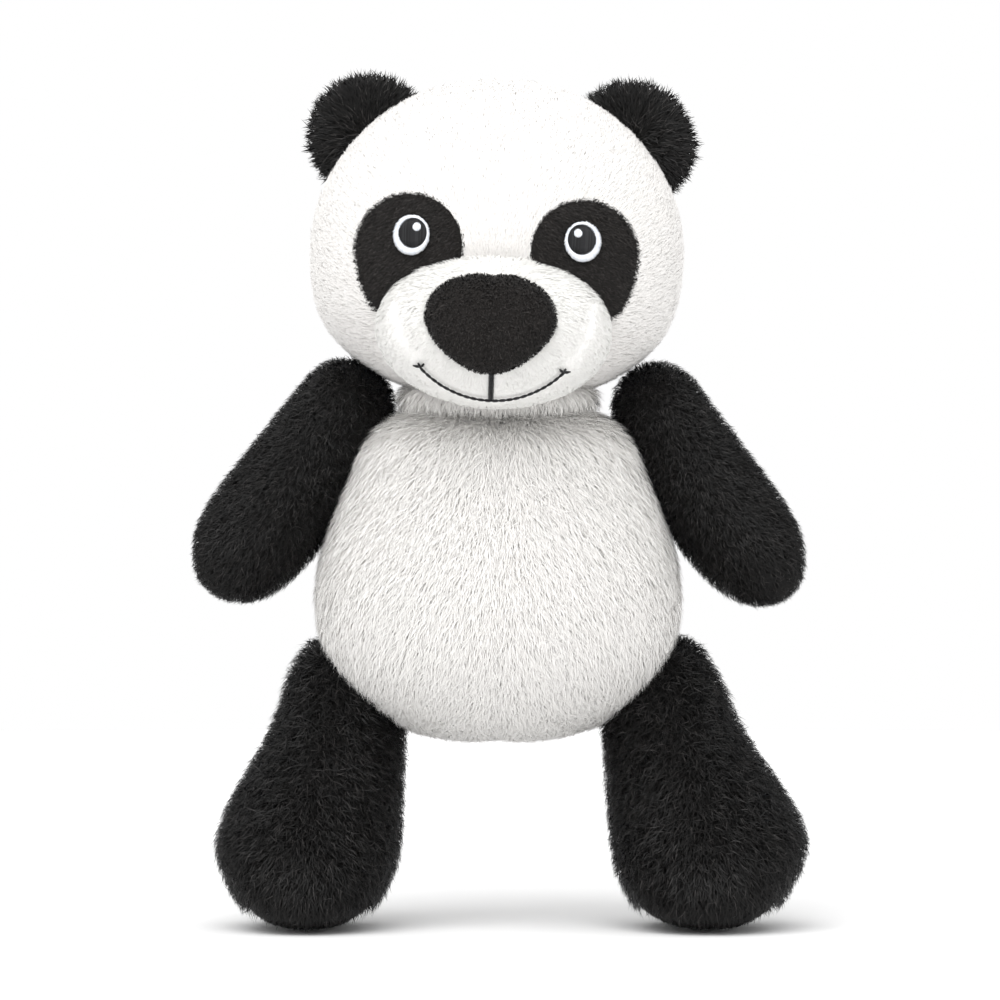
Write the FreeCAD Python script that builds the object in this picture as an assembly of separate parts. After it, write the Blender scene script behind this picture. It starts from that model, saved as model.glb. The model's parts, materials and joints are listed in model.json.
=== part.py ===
import FreeCAD, Part
import math
import os

# Plush panda, standing on its feet and facing -Y. Millimetres, +Z up.
# The origin is on the ground, under the middle of the object's box.
# "left" and "right" are the toy's own: left is +X.
# Outer faces are where the tips of the pile end, so a cover's thickness is backing plus pile.

VECTOR = FreeCAD.Vector
X_AXIS = VECTOR(1, 0, 0)
Y_AXIS = VECTOR(0, 1, 0)
Z_AXIS = VECTOR(0, 0, 1)
SIDES = {"left": 1.0, "right": -1.0}
BIG = 400.0
POLE_FLAT = 1.5          # radius of the flat spot at each end of a turned form
SEAM_TURN = 33.0         # keeps the seam line of a turned surface off the planes that cut it

# Covers
SHORT_PLUSH = 4.0        # backing and pile of head, muzzle and arm covers
LONG_PLUSH = 5.5         # backing and pile of body and leg covers
GAP = 0.5                # room left between parts that move against each other

# Head: an egg turned about Z, flattened front to back. Rows are (height, radius).
HEAD_PROFILE = [
    (160.0, 0.0), (161.6, 20.0), (166.4, 34.2), (173.8, 44.8), (182.6, 52.2), (194.0, 55.9),
    (206.0, 56.8), (218.0, 55.4), (230.3, 50.6), (242.4, 41.8), (251.5, 31.0), (257.8, 17.0), (260.0, 0.0),
]
HEAD_DEPTH = 0.87        # depth over width
HEAD_ROLL = 2.3          # the head leans a little to the toy's left
HEAD_MIDDLE = 214.0      # height that the lean turns about
HEAD_SEAM_Y = 5.0        # ear to ear seam between the face and the back of the head
MUZZLE_CENTRE = VECTOR(0, -38, 181)
MUZZLE_SEMI = (38.0, 26.5, 24.5)
NOSE_CENTRE = VECTOR(0, -58, 184)
NOSE_SEMI = (20.2, 11.0, 15.0)
NOSE_COVER = 1.4
MOUTH_CENTRE_Z = 187.0   # centre of the smile's arc
MOUTH_RADIUS = 27.0
MOUTH_HALF_ANGLE = 55.0
MOUTH_THREAD = 1.0
MOUTH_BAR = 1.7
MOUTH_RAISE = 0.5

# Eyes, as layers let into the face cover. Depths are below the pile tips.
EYE_X = 26.3
EYE_Z = 209.2
PATCH_CENTRE = (27.0, 205.2)
PATCH_SEMI = (18.3, 15.2)
PATCH_TILT = 37.0        # the patch droops outwards by this angle below level
PATCH_DEPTHS = (1.0, 2.6)
RING_SEMI = (5.5, 6.0)
PUPIL_SEMI = (3.85, 4.25)
PUPIL_SHIFT = (-0.7, 0.6)
HIGHLIGHT_SEMI = (1.4, 1.65)
HIGHLIGHT_SHIFT = (-2.0, 2.3)
EYE_DEPTHS = (0.4, 1.0)
HIGHLIGHT_DEPTHS = (0.1, 0.4)

# Ears: round discs whose lower half the head takes away
EAR_CENTRE = VECTOR(40.5, 4, 240.5)
EAR_RADIUS = 19.0
EAR_HALF_THICKNESS = 6.5
EAR_BASE = VECTOR(43.5, 4, 241.0)
EAR_LEAN = 42.5          # direction in which the ear stands out, above level
EAR_FOLD = (-20, 25)

# Neck: a roll of stuffing that turns in the body and carries the head on its ball
NECK_PIVOT = VECTOR(0, 0, 178)
NECK_BALL = 15.0
NECK_ROLL = 11.0
NECK_BOTTOM = 138.0
NECK_NOD = (-10, 8)

# Body: a pear turned about Z, flattened front to back
BODY_PROFILE = [
    (55.0, 0.0), (56.6, 19.0), (60.6, 32.0), (66.7, 42.0), (75.0, 50.2), (84.8, 55.2), (96.0, 57.2),
    (108.0, 56.8), (121.0, 53.6), (133.0, 49.4), (143.0, 44.4), (148.6, 39.4), (152.4, 31.0), (154.4, 18.0),
    (155.2, 0.0),
]
BODY_DEPTH = 0.80
CLOSING_STITCHES = 7
STITCH_PITCH = 5.0
STITCH_LENGTH = 6.0
STITCH_RADIUS = 0.5
STITCH_LOW_Z = 85.0

# Arms, each turned about its own length and flattened. Heights are along the arm from the shoulder.
ARM_PIVOT = VECTOR(45, 1, 157.5)
ARM_REST = 37.5          # outwards from hanging straight down
ARM_PROFILE = [
    (-72.0, 0.0), (-69.6, 8.5), (-63.0, 14.2), (-52.0, 17.6), (-38.0, 18.2), (-23.0, 16.6), (-9.0, 14.6),
    (2.0, 11.8), (8.5, 7.0), (11.0, 0.0),
]
ARM_DEPTH = 0.86
SHOULDER_WAD = 5.0

# Legs: level oval sections, from the sole up to the root. Rows are
# (height, half width, half depth, share of the way from the hip out to the foot, middle's y).
HIP_X = 44.0
HIP_PIVOT_Y = 3.0
HIP_PIVOT_Z = 73.0
FOOT_X = {"left": 63.5, "right": 57.8}
FOOT_WIDTH = {"left": 1.04, "right": 0.98}
LEG_SECTIONS = [
    (0.0, 18.0, 22.0, 1.0, -8.5), (4.0, 22.6, 27.5, 1.0, -9.0), (11.0, 26.4, 31.5, 1.0, -9.0),
    (22.0, 28.4, 32.0, 1.0, -8.0), (34.0, 27.4, 28.5, 0.92, -5.5), (47.0, 24.6, 23.5, 0.68, -2.0),
    (60.0, 20.8, 19.5, 0.36, 1.0), (73.0, 17.4, 16.8, 0.1, 3.0), (82.5, 14.0, 13.6, 0.0, 3.0),
    (89.4, 6.0, 6.0, 0.0, 3.0),
]
SOLE_HEIGHT = 6.5        # seam height between the sole and the side panels
HIP_WAD = 8.0
LEG_SWING = (-20, 40)

# Room that the body leaves round the limbs. Rows of a room are (distance from the middle, distance
# from the swing's axis); hip rows are (distance down the leg, half depth).
SOCKET_LINING = 2.5
ARM_ROOM = [(31.0, 0.0), (31.0, 6.0), (33.2, 12.0), (37.2, 18.0), (44.7, 30.0), (53.2, 44.0), (62.2, 56.0)]
LEG_ROOM = [(25.8, 0.0), (25.8, 5.0), (27.4, 13.0), (28.6, 26.0), (29.5, 60.0)]
HIP_SOCKET = 17.9
HIP_SPREAD = [(0.0, 17.8), (14.0, 22.5), (27.0, 28.0), (55.0, 38.0)]

NOSE_FRONT = -NOSE_CENTRE.y + NOSE_SEMI[1]
HEAD_BACK = max(radius for height, radius in HEAD_PROFILE) * HEAD_DEPTH
SET_BACK = (NOSE_FRONT - HEAD_BACK) / 2


def stretched(shape, factors, centre):
    """Scale a shape by three factors about a centre."""
    matrix = FreeCAD.Matrix()
    matrix.move(centre * -1)
    matrix.scale(*factors)
    matrix.move(centre)
    return shape.transformGeometry(matrix)


def turned(shape, centre, axis, degrees):
    """A copy turned about an axis."""
    copy = shape.copy()
    copy.rotate(centre, axis, degrees)
    return copy


def moved(shape, offset):
    """A copy moved by an offset."""
    copy = shape.copy()
    copy.translate(offset)
    return copy


def oval(semi, centre):
    """An ellipsoid, its poles along Y."""
    ball = turned(Part.makeSphere(1.0), VECTOR(0, 0, 0), X_AXIS, 90)
    ball = turned(ball, VECTOR(0, 0, 0), Y_AXIS, SEAM_TURN)
    return moved(stretched(ball, semi, VECTOR(0, 0, 0)), centre)


def profile_edge(profile, inset):
    """The outline of a turned form, inset all round, and its two end points."""
    low, high = profile[0][0], profile[-1][0]
    middle = (low + high) / 2
    widest = max(radius for height, radius in profile)
    high_share = 1 - inset / ((high - low) / 2)
    wide_share = 1 - inset / widest
    points = []
    for height, radius in profile:
        level = middle + (height - middle) * high_share
        points.append(VECTOR(max(radius * wide_share, POLE_FLAT), 0, level))
    curve = Part.BSplineCurve()
    curve.interpolate(Points=points)
    return curve.toShape(), points[0], points[-1]


def on_axis(point):
    """The point of the turning axis at the same height."""
    return VECTOR(0, 0, point.z)


def egg(profile, depth, inset=0.0):
    """A solid turned about Z from (height, radius) rows, flattened along Y and inset all round."""
    edge, bottom, top = profile_edge(profile, inset)
    corners = [top, on_axis(top), on_axis(bottom), bottom]
    face = Part.Face(Part.Wire([edge] + Part.makePolygon(corners).Edges))
    solid = turned(face.revolve(VECTOR(0, 0, 0), Z_AXIS, 360), VECTOR(0, 0, 0), Z_AXIS, SEAM_TURN)
    widest = max(radius for height, radius in profile)
    depth_share = (widest * depth - inset) / (widest - inset)
    return Part.Solid(stretched(solid, (1, depth_share, 1), VECTOR(0, 0, 0)).Shells[0])


def egg_panel(profile, depth, thickness, front):
    """The front or back half of the cover of a turned form."""
    outer, outer_bottom, outer_top = profile_edge(profile, 0.0)
    inner, inner_bottom, inner_top = profile_edge(profile, thickness)
    top = Part.makePolygon([outer_top, on_axis(outer_top), on_axis(inner_top), inner_top])
    bottom = Part.makePolygon([inner_bottom, on_axis(inner_bottom), on_axis(outer_bottom), outer_bottom])
    face = Part.Face(Part.Wire([outer] + top.Edges + [inner] + bottom.Edges))
    solid = face.revolve(VECTOR(0, 0, 0), Z_AXIS, -180 if front else 180)
    return Part.Solid(stretched(solid, (1, depth, 1), VECTOR(0, 0, 0)).Shells[0])


def hollowed(outer, inner):
    """A solid with a closed hollow that lies wholly inside it."""
    return Part.makeSolid(Part.makeCompound([outer.Shells[0], inner.Shells[0].reversed()]))


def slab(low, high):
    """A box between two corners."""
    return Part.makeBox(high[0] - low[0], high[1] - low[1], high[2] - low[2], VECTOR(*low))


def half(side, low_y=-BIG, high_y=BIG):
    """The half space on one side of the middle, between two depths."""
    if SIDES[side] > 0:
        return slab((0, low_y, -BIG), (BIG, high_y, BIG))
    return slab((-BIG, low_y, -BIG), (0, high_y, BIG))


def oval_prism(semi, x, z, tilt=0.0):
    """An oval bar along Y, in front of the face."""
    bar = Part.makeCylinder(1.0, 120, VECTOR(0, 0, 0), Y_AXIS * -1)
    bar = stretched(bar, (semi[0], 1, semi[1]), VECTOR(0, 0, 0))
    bar = turned(bar, VECTOR(0, 0, 0), Y_AXIS, tilt)
    return moved(bar, VECTOR(x, 0, z))


def on_head(shape):
    """Lean a shape with the head."""
    return turned(shape, VECTOR(0, 0, HEAD_MIDDLE), Y_AXIS, HEAD_ROLL)


def head_form(inset=0.0):
    """The head without its lean."""
    return egg(HEAD_PROFILE, HEAD_DEPTH, inset)


def muzzle_form(inset=0.0):
    """The mound of the muzzle, part of it inside the head."""
    return oval([semi - inset for semi in MUZZLE_SEMI], MUZZLE_CENTRE)


def neck_form(gap=0.0):
    """The neck's roll of stuffing with its ball."""
    ball = Part.makeSphere(NECK_BALL + gap, NECK_PIVOT)
    length = NECK_PIVOT.z - NECK_BOTTOM + gap
    roll = Part.makeCylinder(NECK_ROLL + gap, length, VECTOR(0, 0, NECK_BOTTOM - gap))
    return ball.fuse(roll).removeSplitter()


def neck_way():
    """The room that the head leaves for the neck over the whole nod."""
    ball = Part.makeSphere(NECK_BALL + GAP, NECK_PIVOT)
    spread = math.tan(math.radians(max(abs(limit) for limit in NECK_NOD) + 1.0))
    reach = 40.0
    funnel = Part.makeCone(NECK_ROLL + GAP, NECK_ROLL + GAP + reach * spread, reach, NECK_PIVOT, Z_AXIS * -1)
    return ball.fuse(funnel)


def on_arm(shape, side):
    """Put a shape made along Z with its shoulder at the origin where the arm rests."""
    return moved(turned(shape, VECTOR(0, 0, 0), Y_AXIS, -ARM_REST * SIDES[side]), arm_pivot(side))


def arm_pivot(side):
    """The middle of a shoulder."""
    return VECTOR(ARM_PIVOT.x * SIDES[side], ARM_PIVOT.y, ARM_PIVOT.z)


def hip_pivot(side):
    """The middle of a hip."""
    return VECTOR(HIP_X * SIDES[side], HIP_PIVOT_Y, HIP_PIVOT_Z)


def leg_section(side, row, inset):
    """One level oval of a leg."""
    height, half_width, half_depth, share, middle_y = row
    middle_x = SIDES[side] * (HIP_X + share * (FOOT_X[side] - HIP_X))
    width_share = 1 + share * (FOOT_WIDTH[side] - 1)
    circle = Part.makeCircle(1.0, VECTOR(0, 0, 0), Z_AXIS)
    factors = (half_width * width_share - inset, half_depth - inset, 1)
    loop = Part.Wire([stretched(circle, factors, VECTOR(0, 0, 0))])
    return moved(loop, VECTOR(middle_x, middle_y, height))


def leg_form(side, inset=0.0):
    """A leg at rest, from its flat sole to its rounded root."""
    low, high = LEG_SECTIONS[0][0], LEG_SECTIONS[-1][0]
    sections = []
    for height, half_width, half_depth, share, middle_y in LEG_SECTIONS:
        level = low + inset + (height - low) * (high - low - 2 * inset) / (high - low)
        sections.append(leg_section(side, (level, half_width, half_depth, share, middle_y), inset))
    return Part.makeLoft(sections, True, False)


def steps(limits, count):
    """Evenly spaced values between two limits, 0 among them."""
    low, high = limits
    values = {round(low + (high - low) * index / (count - 1), 3) for index in range(count)}
    return sorted(values | {0})


def swung_room(pivot, side, rows, cover):
    """Room swept about a sideways axis; rows are (distance from the middle, distance from the axis)."""
    sign = SIDES[side]
    outline = [VECTOR(sign * (reach - GAP - cover), 0, -radius) for reach, radius in rows]
    far = VECTOR(sign * BIG, 0, -rows[-1][1])
    corners = outline + [far, VECTOR(sign * BIG, 0, 0), outline[0]]
    face = Part.Face(Part.makePolygon(corners))
    return moved(face.revolve(VECTOR(0, 0, 0), X_AXIS, 360), VECTOR(0, pivot.y, pivot.z))


def hip_wedge(side, cover):
    """The fan that a leg sweeps forwards and backwards, seen from the side, as a thick plate."""
    pivot = hip_pivot(side)
    corners = [VECTOR(0, pivot.y, pivot.z)]
    for swing, sign in ((LEG_SWING[1], -1), (-LEG_SWING[0], 1)):
        angle = math.radians(swing)
        along = VECTOR(0, sign * math.sin(angle), -math.cos(angle))
        across = VECTOR(0, sign * math.cos(angle), math.sin(angle))
        line = [corners[0] + along * reach + across * (depth + GAP + cover) for reach, depth in HIP_SPREAD]
        corners += line if sign < 0 else line[::-1]
    corners.append(corners[0])
    return Part.Face(Part.makePolygon(corners)).extrude(X_AXIS * (SIDES[side] * BIG))


def limb_room(side, cover):
    """What the body leaves free for one side's arm and leg; cover is the thickness kept round it."""
    arm_room = swung_room(arm_pivot(side), side, ARM_ROOM, cover)
    leg_room = swung_room(hip_pivot(side), side, LEG_ROOM, cover).common(hip_wedge(side, cover))
    socket = Part.makeSphere(HIP_SOCKET + GAP + cover, hip_pivot(side))
    return [arm_room, leg_room, socket]


def make_head(parts):
    """Head covers, stuffing and muzzle."""
    outer = head_form()
    inner = head_form(SHORT_PLUSH)
    muzzle = muzzle_form()
    cover = hollowed(outer, inner)
    face = cover.common(slab((-BIG, -BIG, -BIG), (BIG, HEAD_SEAM_Y, BIG))).cut(muzzle)
    for side in SIDES:
        x, tilt = SIDES[side] * PATCH_CENTRE[0], SIDES[side] * PATCH_TILT
        prism = oval_prism(PATCH_SEMI, x, PATCH_CENTRE[1], tilt)
        face = face.cut(prism.cut(head_form(PATCH_DEPTHS[1])))
    parts["face_panel"] = on_head(face).cut(neck_way())
    for side in SIDES:
        back = cover.common(half(side, low_y=HEAD_SEAM_Y))
        parts[f"head_back_{side}_panel"] = on_head(back).cut(neck_way())
    parts["head_stuffing"] = on_head(inner).cut(neck_way())
    hollow = muzzle_form(SHORT_PLUSH)
    parts["muzzle_panel"] = on_head(hollowed(muzzle, hollow).cut(inner))
    parts["muzzle_stuffing"] = on_head(hollow.cut(inner))


def make_nose_and_mouth(parts):
    """Padded nose and the embroidered mouth on the muzzle."""
    muzzle = muzzle_form()
    outer = oval(NOSE_SEMI, NOSE_CENTRE)
    inner = oval([semi - NOSE_COVER for semi in NOSE_SEMI], NOSE_CENTRE)
    front = slab((-BIG, -BIG, -BIG), (BIG, NOSE_CENTRE.y + 4.0, BIG))
    parts["nose_cover"] = on_head(hollowed(outer, inner).common(front).cut(muzzle))
    parts["nose_padding"] = on_head(inner.common(front).cut(muzzle))
    layer = hollowed(muzzle_form(-MOUTH_RAISE), muzzle)
    centre = VECTOR(0, MUZZLE_CENTRE.y, MOUTH_CENTRE_Z)
    ring = Part.makeCylinder(MOUTH_RADIUS + MOUTH_THREAD / 2, 120, centre, Y_AXIS * -1)
    ring = ring.cut(Part.makeCylinder(MOUTH_RADIUS - MOUTH_THREAD / 2, 120, centre, Y_AXIS * -1))
    reach = MOUTH_RADIUS * 2
    spread = reach * math.tan(math.radians(MOUTH_HALF_ANGLE))
    corners = [VECTOR(0, 0, MOUTH_CENTRE_Z), VECTOR(-spread, 0, MOUTH_CENTRE_Z - reach),
               VECTOR(spread, 0, MOUTH_CENTRE_Z - reach), VECTOR(0, 0, MOUTH_CENTRE_Z)]
    wedge = Part.Face(Part.makePolygon(corners)).extrude(Y_AXIS * -120)
    smile = layer.common(ring.common(wedge))
    smile_low = MOUTH_CENTRE_Z - MOUTH_RADIUS + MOUTH_THREAD / 2
    bar_box = slab((-MOUTH_BAR / 2, -120, smile_low), (MOUTH_BAR / 2, MUZZLE_CENTRE.y, NOSE_CENTRE.z))
    bar = layer.common(bar_box).cut(outer)
    parts["mouth_stitching"] = on_head(Part.makeCompound(smile.Solids + bar.Solids))


def make_eye(parts, side):
    """One eye patch and the embroidery on it."""
    sign = SIDES[side]
    muzzle = muzzle_form()

    def layer(depths, prism):
        return prism.common(head_form(depths[0])).cut(head_form(depths[1]))

    patch_prism = oval_prism(PATCH_SEMI, sign * PATCH_CENTRE[0], PATCH_CENTRE[1], sign * PATCH_TILT)
    parts[f"{side}_eye_patch"] = on_head(layer(PATCH_DEPTHS, patch_prism).cut(muzzle))
    ring_prism = oval_prism(RING_SEMI, sign * EYE_X, EYE_Z)
    pupil_x = sign * (EYE_X + PUPIL_SHIFT[0])
    pupil_prism = oval_prism(PUPIL_SEMI, pupil_x, EYE_Z + PUPIL_SHIFT[1])
    highlight_x = sign * (EYE_X + HIGHLIGHT_SHIFT[0])
    highlight_prism = oval_prism(HIGHLIGHT_SEMI, highlight_x, EYE_Z + HIGHLIGHT_SHIFT[1])
    parts[f"{side}_eye_white"] = on_head(layer(EYE_DEPTHS, ring_prism.cut(pupil_prism)))
    parts[f"{side}_eye_pupil"] = on_head(layer(EYE_DEPTHS, pupil_prism))
    parts[f"{side}_eye_highlight"] = on_head(layer(HIGHLIGHT_DEPTHS, highlight_prism))


def make_ear(parts, side):
    """One ear of two panels, clear of the head at every fold."""
    sign = SIDES[side]
    centre = VECTOR(EAR_CENTRE.x * sign, EAR_CENTRE.y, EAR_CENTRE.z)
    base = VECTOR(EAR_BASE.x * sign, EAR_BASE.y, EAR_BASE.z)
    lean = math.radians(EAR_LEAN)
    fold_axis = VECTOR(math.sin(lean), 0, -sign * math.cos(lean))
    ear = oval((EAR_RADIUS, EAR_HALF_THICKNESS, EAR_RADIUS), centre)
    head = head_form(-GAP)
    for angle in steps(EAR_FOLD, 3):
        ear = ear.cut(turned(head, base, fold_axis, -angle))
    front = slab((-BIG, -BIG, -BIG), (BIG, centre.y, BIG))
    parts[f"{side}_ear_front_panel"] = on_head(ear.common(front))
    parts[f"{side}_ear_back_panel"] = on_head(ear.cut(front))


def make_body(parts):
    """Body covers and stuffing, hollowed where the neck and the limbs move."""
    outer = egg(BODY_PROFILE, BODY_DEPTH)
    inner = egg(BODY_PROFILE, BODY_DEPTH, LONG_PLUSH)
    neck_room = neck_form(GAP)
    stuffing = inner.cut(neck_room)
    for side in SIDES:
        lining = outer.common(half(side)).cut([neck_room] + limb_room(side, 0.0))
        room = limb_room(side, SOCKET_LINING)
        shell = lining.cut(inner.common(half(side)).cut(room))
        parts[f"belly_{side}_panel"] = shell.common(half(side, high_y=0))
        parts[f"back_{side}_panel"] = shell.common(half(side, low_y=0))
        stuffing = stuffing.cut(room)
    parts["body_stuffing"] = stuffing


def make_closing_stitches(parts):
    """Ladder stitches down the back, where the stuffing went in."""
    body = egg(BODY_PROFILE, BODY_DEPTH)
    stitches = []
    for index in range(CLOSING_STITCHES):
        height = STITCH_LOW_Z + index * STITCH_PITCH
        depth_line = Part.makeLine(VECTOR(0, 0, height), VECTOR(0, BIG, height)).common(body)
        start = VECTOR(-STITCH_LENGTH / 2, depth_line.Length + STITCH_RADIUS, height)
        stitches.append(Part.makeCylinder(STITCH_RADIUS, STITCH_LENGTH, start, X_AXIS))
    parts["back_closing_stitches"] = Part.makeCompound(stitches)


def make_neck(parts):
    """The neck's roll of stuffing."""
    parts["neck_stuffing"] = neck_form()


def make_arm(parts, side):
    """One arm: front and back panels, stuffing and the wad at its root."""
    for name, front in (("front", True), ("back", False)):
        panel = egg_panel(ARM_PROFILE, ARM_DEPTH, SHORT_PLUSH, front)
        parts[f"{side}_arm_{name}_panel"] = on_arm(panel, side)
    pivot = arm_pivot(side)
    stuffing = on_arm(egg(ARM_PROFILE, ARM_DEPTH, SHORT_PLUSH), side)
    parts[f"{side}_arm_stuffing"] = hollowed(stuffing, Part.makeSphere(SHOULDER_WAD + GAP, pivot))
    parts[f"{side}_shoulder_wad"] = Part.makeSphere(SHOULDER_WAD, pivot)


def make_leg(parts, side):
    """One leg: inner and outer panels, sole, stuffing and the wad at its root."""
    outer = leg_form(side)
    inner = leg_form(side, LONG_PLUSH)
    pivot = hip_pivot(side)
    cover = hollowed(outer, inner)
    below = slab((-BIG, -BIG, -BIG), (BIG, BIG, SOLE_HEIGHT))
    parts[f"{side}_sole_panel"] = cover.common(below)
    upper = cover.cut(below)
    seam_x = FOOT_X[side] * SIDES[side]
    hip_x = pivot.x
    corners = [VECTOR(seam_x, -BIG, -1), VECTOR(seam_x, -BIG, 40), VECTOR(hip_x, -BIG, 72),
               VECTOR(hip_x, -BIG, 100), VECTOR(0, -BIG, 100), VECTOR(0, -BIG, -1), VECTOR(seam_x, -BIG, -1)]
    inside = Part.Face(Part.makePolygon(corners)).extrude(VECTOR(0, 2 * BIG, 0))
    parts[f"{side}_leg_inner_panel"] = upper.common(inside)
    parts[f"{side}_leg_outer_panel"] = upper.cut(inside)
    parts[f"{side}_leg_stuffing"] = hollowed(inner, Part.makeSphere(HIP_WAD + GAP, pivot))
    parts[f"{side}_hip_wad"] = Part.makeSphere(HIP_WAD, pivot)


def make_all():
    """Every sub-part by its node name, in the object's own frame."""
    parts = {}
    make_head(parts)
    make_nose_and_mouth(parts)
    make_neck(parts)
    make_body(parts)
    make_closing_stitches(parts)
    for side in SIDES:
        make_eye(parts, side)
        make_ear(parts, side)
        make_arm(parts, side)
        make_leg(parts, side)
    return {name: moved(shape, VECTOR(0, SET_BACK, 0)) for name, shape in parts.items()}


def write_parts(parts):
    """Write each sub-part as its own STEP file."""
    os.makedirs("parts", exist_ok=True)
    for name, shape in parts.items():
        solids = shape.Solids
        kept = solids[0] if len(solids) == 1 else Part.makeCompound(solids)
        kept.exportStep(f"parts/{name}.step")
        print(name, len(solids), round(kept.Volume), kept.isValid())


write_parts(make_all())
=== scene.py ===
import json
import logging
import math
from collections.abc import Callable
from dataclasses import dataclass
from enum import Enum

import bmesh
import bpy
import numpy as np
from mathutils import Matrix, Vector
from mathutils.bvhtree import BVHTree


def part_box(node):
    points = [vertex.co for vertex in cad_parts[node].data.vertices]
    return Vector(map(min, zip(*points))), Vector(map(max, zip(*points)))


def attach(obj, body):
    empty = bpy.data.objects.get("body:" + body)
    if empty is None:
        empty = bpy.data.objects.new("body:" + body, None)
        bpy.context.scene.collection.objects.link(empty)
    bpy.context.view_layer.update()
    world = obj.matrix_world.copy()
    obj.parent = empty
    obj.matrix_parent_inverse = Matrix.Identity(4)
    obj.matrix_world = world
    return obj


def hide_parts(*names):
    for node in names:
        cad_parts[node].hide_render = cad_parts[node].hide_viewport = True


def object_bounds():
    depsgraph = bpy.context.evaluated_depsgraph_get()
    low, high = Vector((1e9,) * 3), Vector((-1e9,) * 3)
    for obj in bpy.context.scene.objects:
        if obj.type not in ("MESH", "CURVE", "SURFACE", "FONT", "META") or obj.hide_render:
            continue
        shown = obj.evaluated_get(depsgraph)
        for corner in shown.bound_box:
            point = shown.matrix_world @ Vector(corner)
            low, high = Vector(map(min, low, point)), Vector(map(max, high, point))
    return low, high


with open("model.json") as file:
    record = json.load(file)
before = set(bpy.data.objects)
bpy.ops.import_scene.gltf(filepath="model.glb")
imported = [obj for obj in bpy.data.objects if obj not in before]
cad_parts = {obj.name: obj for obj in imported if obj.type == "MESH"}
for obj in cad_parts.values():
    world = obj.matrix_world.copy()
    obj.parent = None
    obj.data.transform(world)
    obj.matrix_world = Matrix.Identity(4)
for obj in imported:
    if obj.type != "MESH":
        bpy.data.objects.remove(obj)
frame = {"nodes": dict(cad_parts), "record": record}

# A standing plush panda: stuffed covers with real strands of pile, embroidered eyes and mouth.
# Metres, +Z up, facing -Y. "left" and "right" are the toy's own: left is +X.

LOG = logging.getLogger("panda")
CAD_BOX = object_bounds()
MM = 0.001
FORWARD = Vector((0, -1, 0))
BACKWARD = Vector((0, 1, 0))
Colour = tuple[float, float, float]


class Side(Enum):
    """The two sides of the toy and the sign of their X."""

    LEFT = 1.0
    RIGHT = -1.0

    @property
    def word(self) -> str:
        """The side's name as node names have it."""
        return self.name.lower()


class Slot(Enum):
    """Names of the material slots; coats and stitches keep one each, but nothing here reads it."""

    WHITE = "white_plush"
    LONG_WHITE = "long_white_plush"
    BLACK = "black_plush"
    VELBOA = "black_velboa"
    WHITE_THREAD = "white_thread"
    GREY_THREAD = "grey_thread"
    BLACK_THREAD = "black_thread"
    CLOSING = "closing_thread"


def unit(rows: np.ndarray) -> np.ndarray:
    """Rows scaled to length one."""
    return rows / np.maximum(np.linalg.norm(rows, axis=1, keepdims=True), 1e-9)


def leaned(x: float, z: float, middle: float, degrees: float) -> tuple[float, float]:
    """Turn a point of the face with the head's lean.

    Args:
        x: Sideways place on the upright head.
        z: Height on the upright head.
        middle: Height that the lean turns about.
        degrees: The lean, clockwise as the face is seen.

    Returns:
        The place and height on the leaning head.
    """
    angle = math.radians(degrees)
    rise = z - middle
    return (x * math.cos(angle) + rise * math.sin(angle),
            middle - x * math.sin(angle) + rise * math.cos(angle))


# ---------------------------------------------------------------- finishes


def mottle_group() -> bpy.types.ShaderNodeTree:
    """The node group that clouds a cloth's colour and raises its backing.

    Returns:
        The group, made on first use.
    """
    name = "cloth_mottle"
    if name in bpy.data.node_groups:
        return bpy.data.node_groups[name]
    group = bpy.data.node_groups.new(name, "ShaderNodeTree")
    face = group.interface
    for label in ("Colour", "Shade"):
        face.new_socket(label, in_out="INPUT", socket_type="NodeSocketColor")
    for label in ("Patch Scale", "Grain Scale", "Amount"):
        face.new_socket(label, in_out="INPUT", socket_type="NodeSocketFloat")
    face.new_socket("Colour", in_out="OUTPUT", socket_type="NodeSocketColor")
    face.new_socket("Height", in_out="OUTPUT", socket_type="NodeSocketFloat")
    nodes, links = group.nodes, group.links
    entry, leave = nodes.new("NodeGroupInput"), nodes.new("NodeGroupOutput")
    place = nodes.new("ShaderNodeTexCoord")
    patches, grain = nodes.new("ShaderNodeTexNoise"), nodes.new("ShaderNodeTexNoise")
    grain.inputs["Detail"].default_value = 6.0
    for noise, label in ((patches, "Patch Scale"), (grain, "Grain Scale")):
        links.new(place.outputs["Object"], noise.inputs["Vector"])
        links.new(entry.outputs[label], noise.inputs["Scale"])
    both = nodes.new("ShaderNodeMath")
    both.operation = "MULTIPLY"
    links.new(patches.outputs["Fac"], both.inputs[0])
    links.new(grain.outputs["Fac"], both.inputs[1])
    share = nodes.new("ShaderNodeMath")
    share.operation = "MULTIPLY"
    share.use_clamp = True
    links.new(both.outputs[0], share.inputs[0])
    links.new(entry.outputs["Amount"], share.inputs[1])
    mix = nodes.new("ShaderNodeMix")
    mix.data_type = "RGBA"
    links.new(share.outputs[0], mix.inputs["Factor"])
    links.new(entry.outputs["Colour"], mix.inputs["A"])
    links.new(entry.outputs["Shade"], mix.inputs["B"])
    links.new(mix.outputs["Result"], leave.inputs["Colour"])
    links.new(grain.outputs["Fac"], leave.inputs["Height"])
    return group


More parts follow.
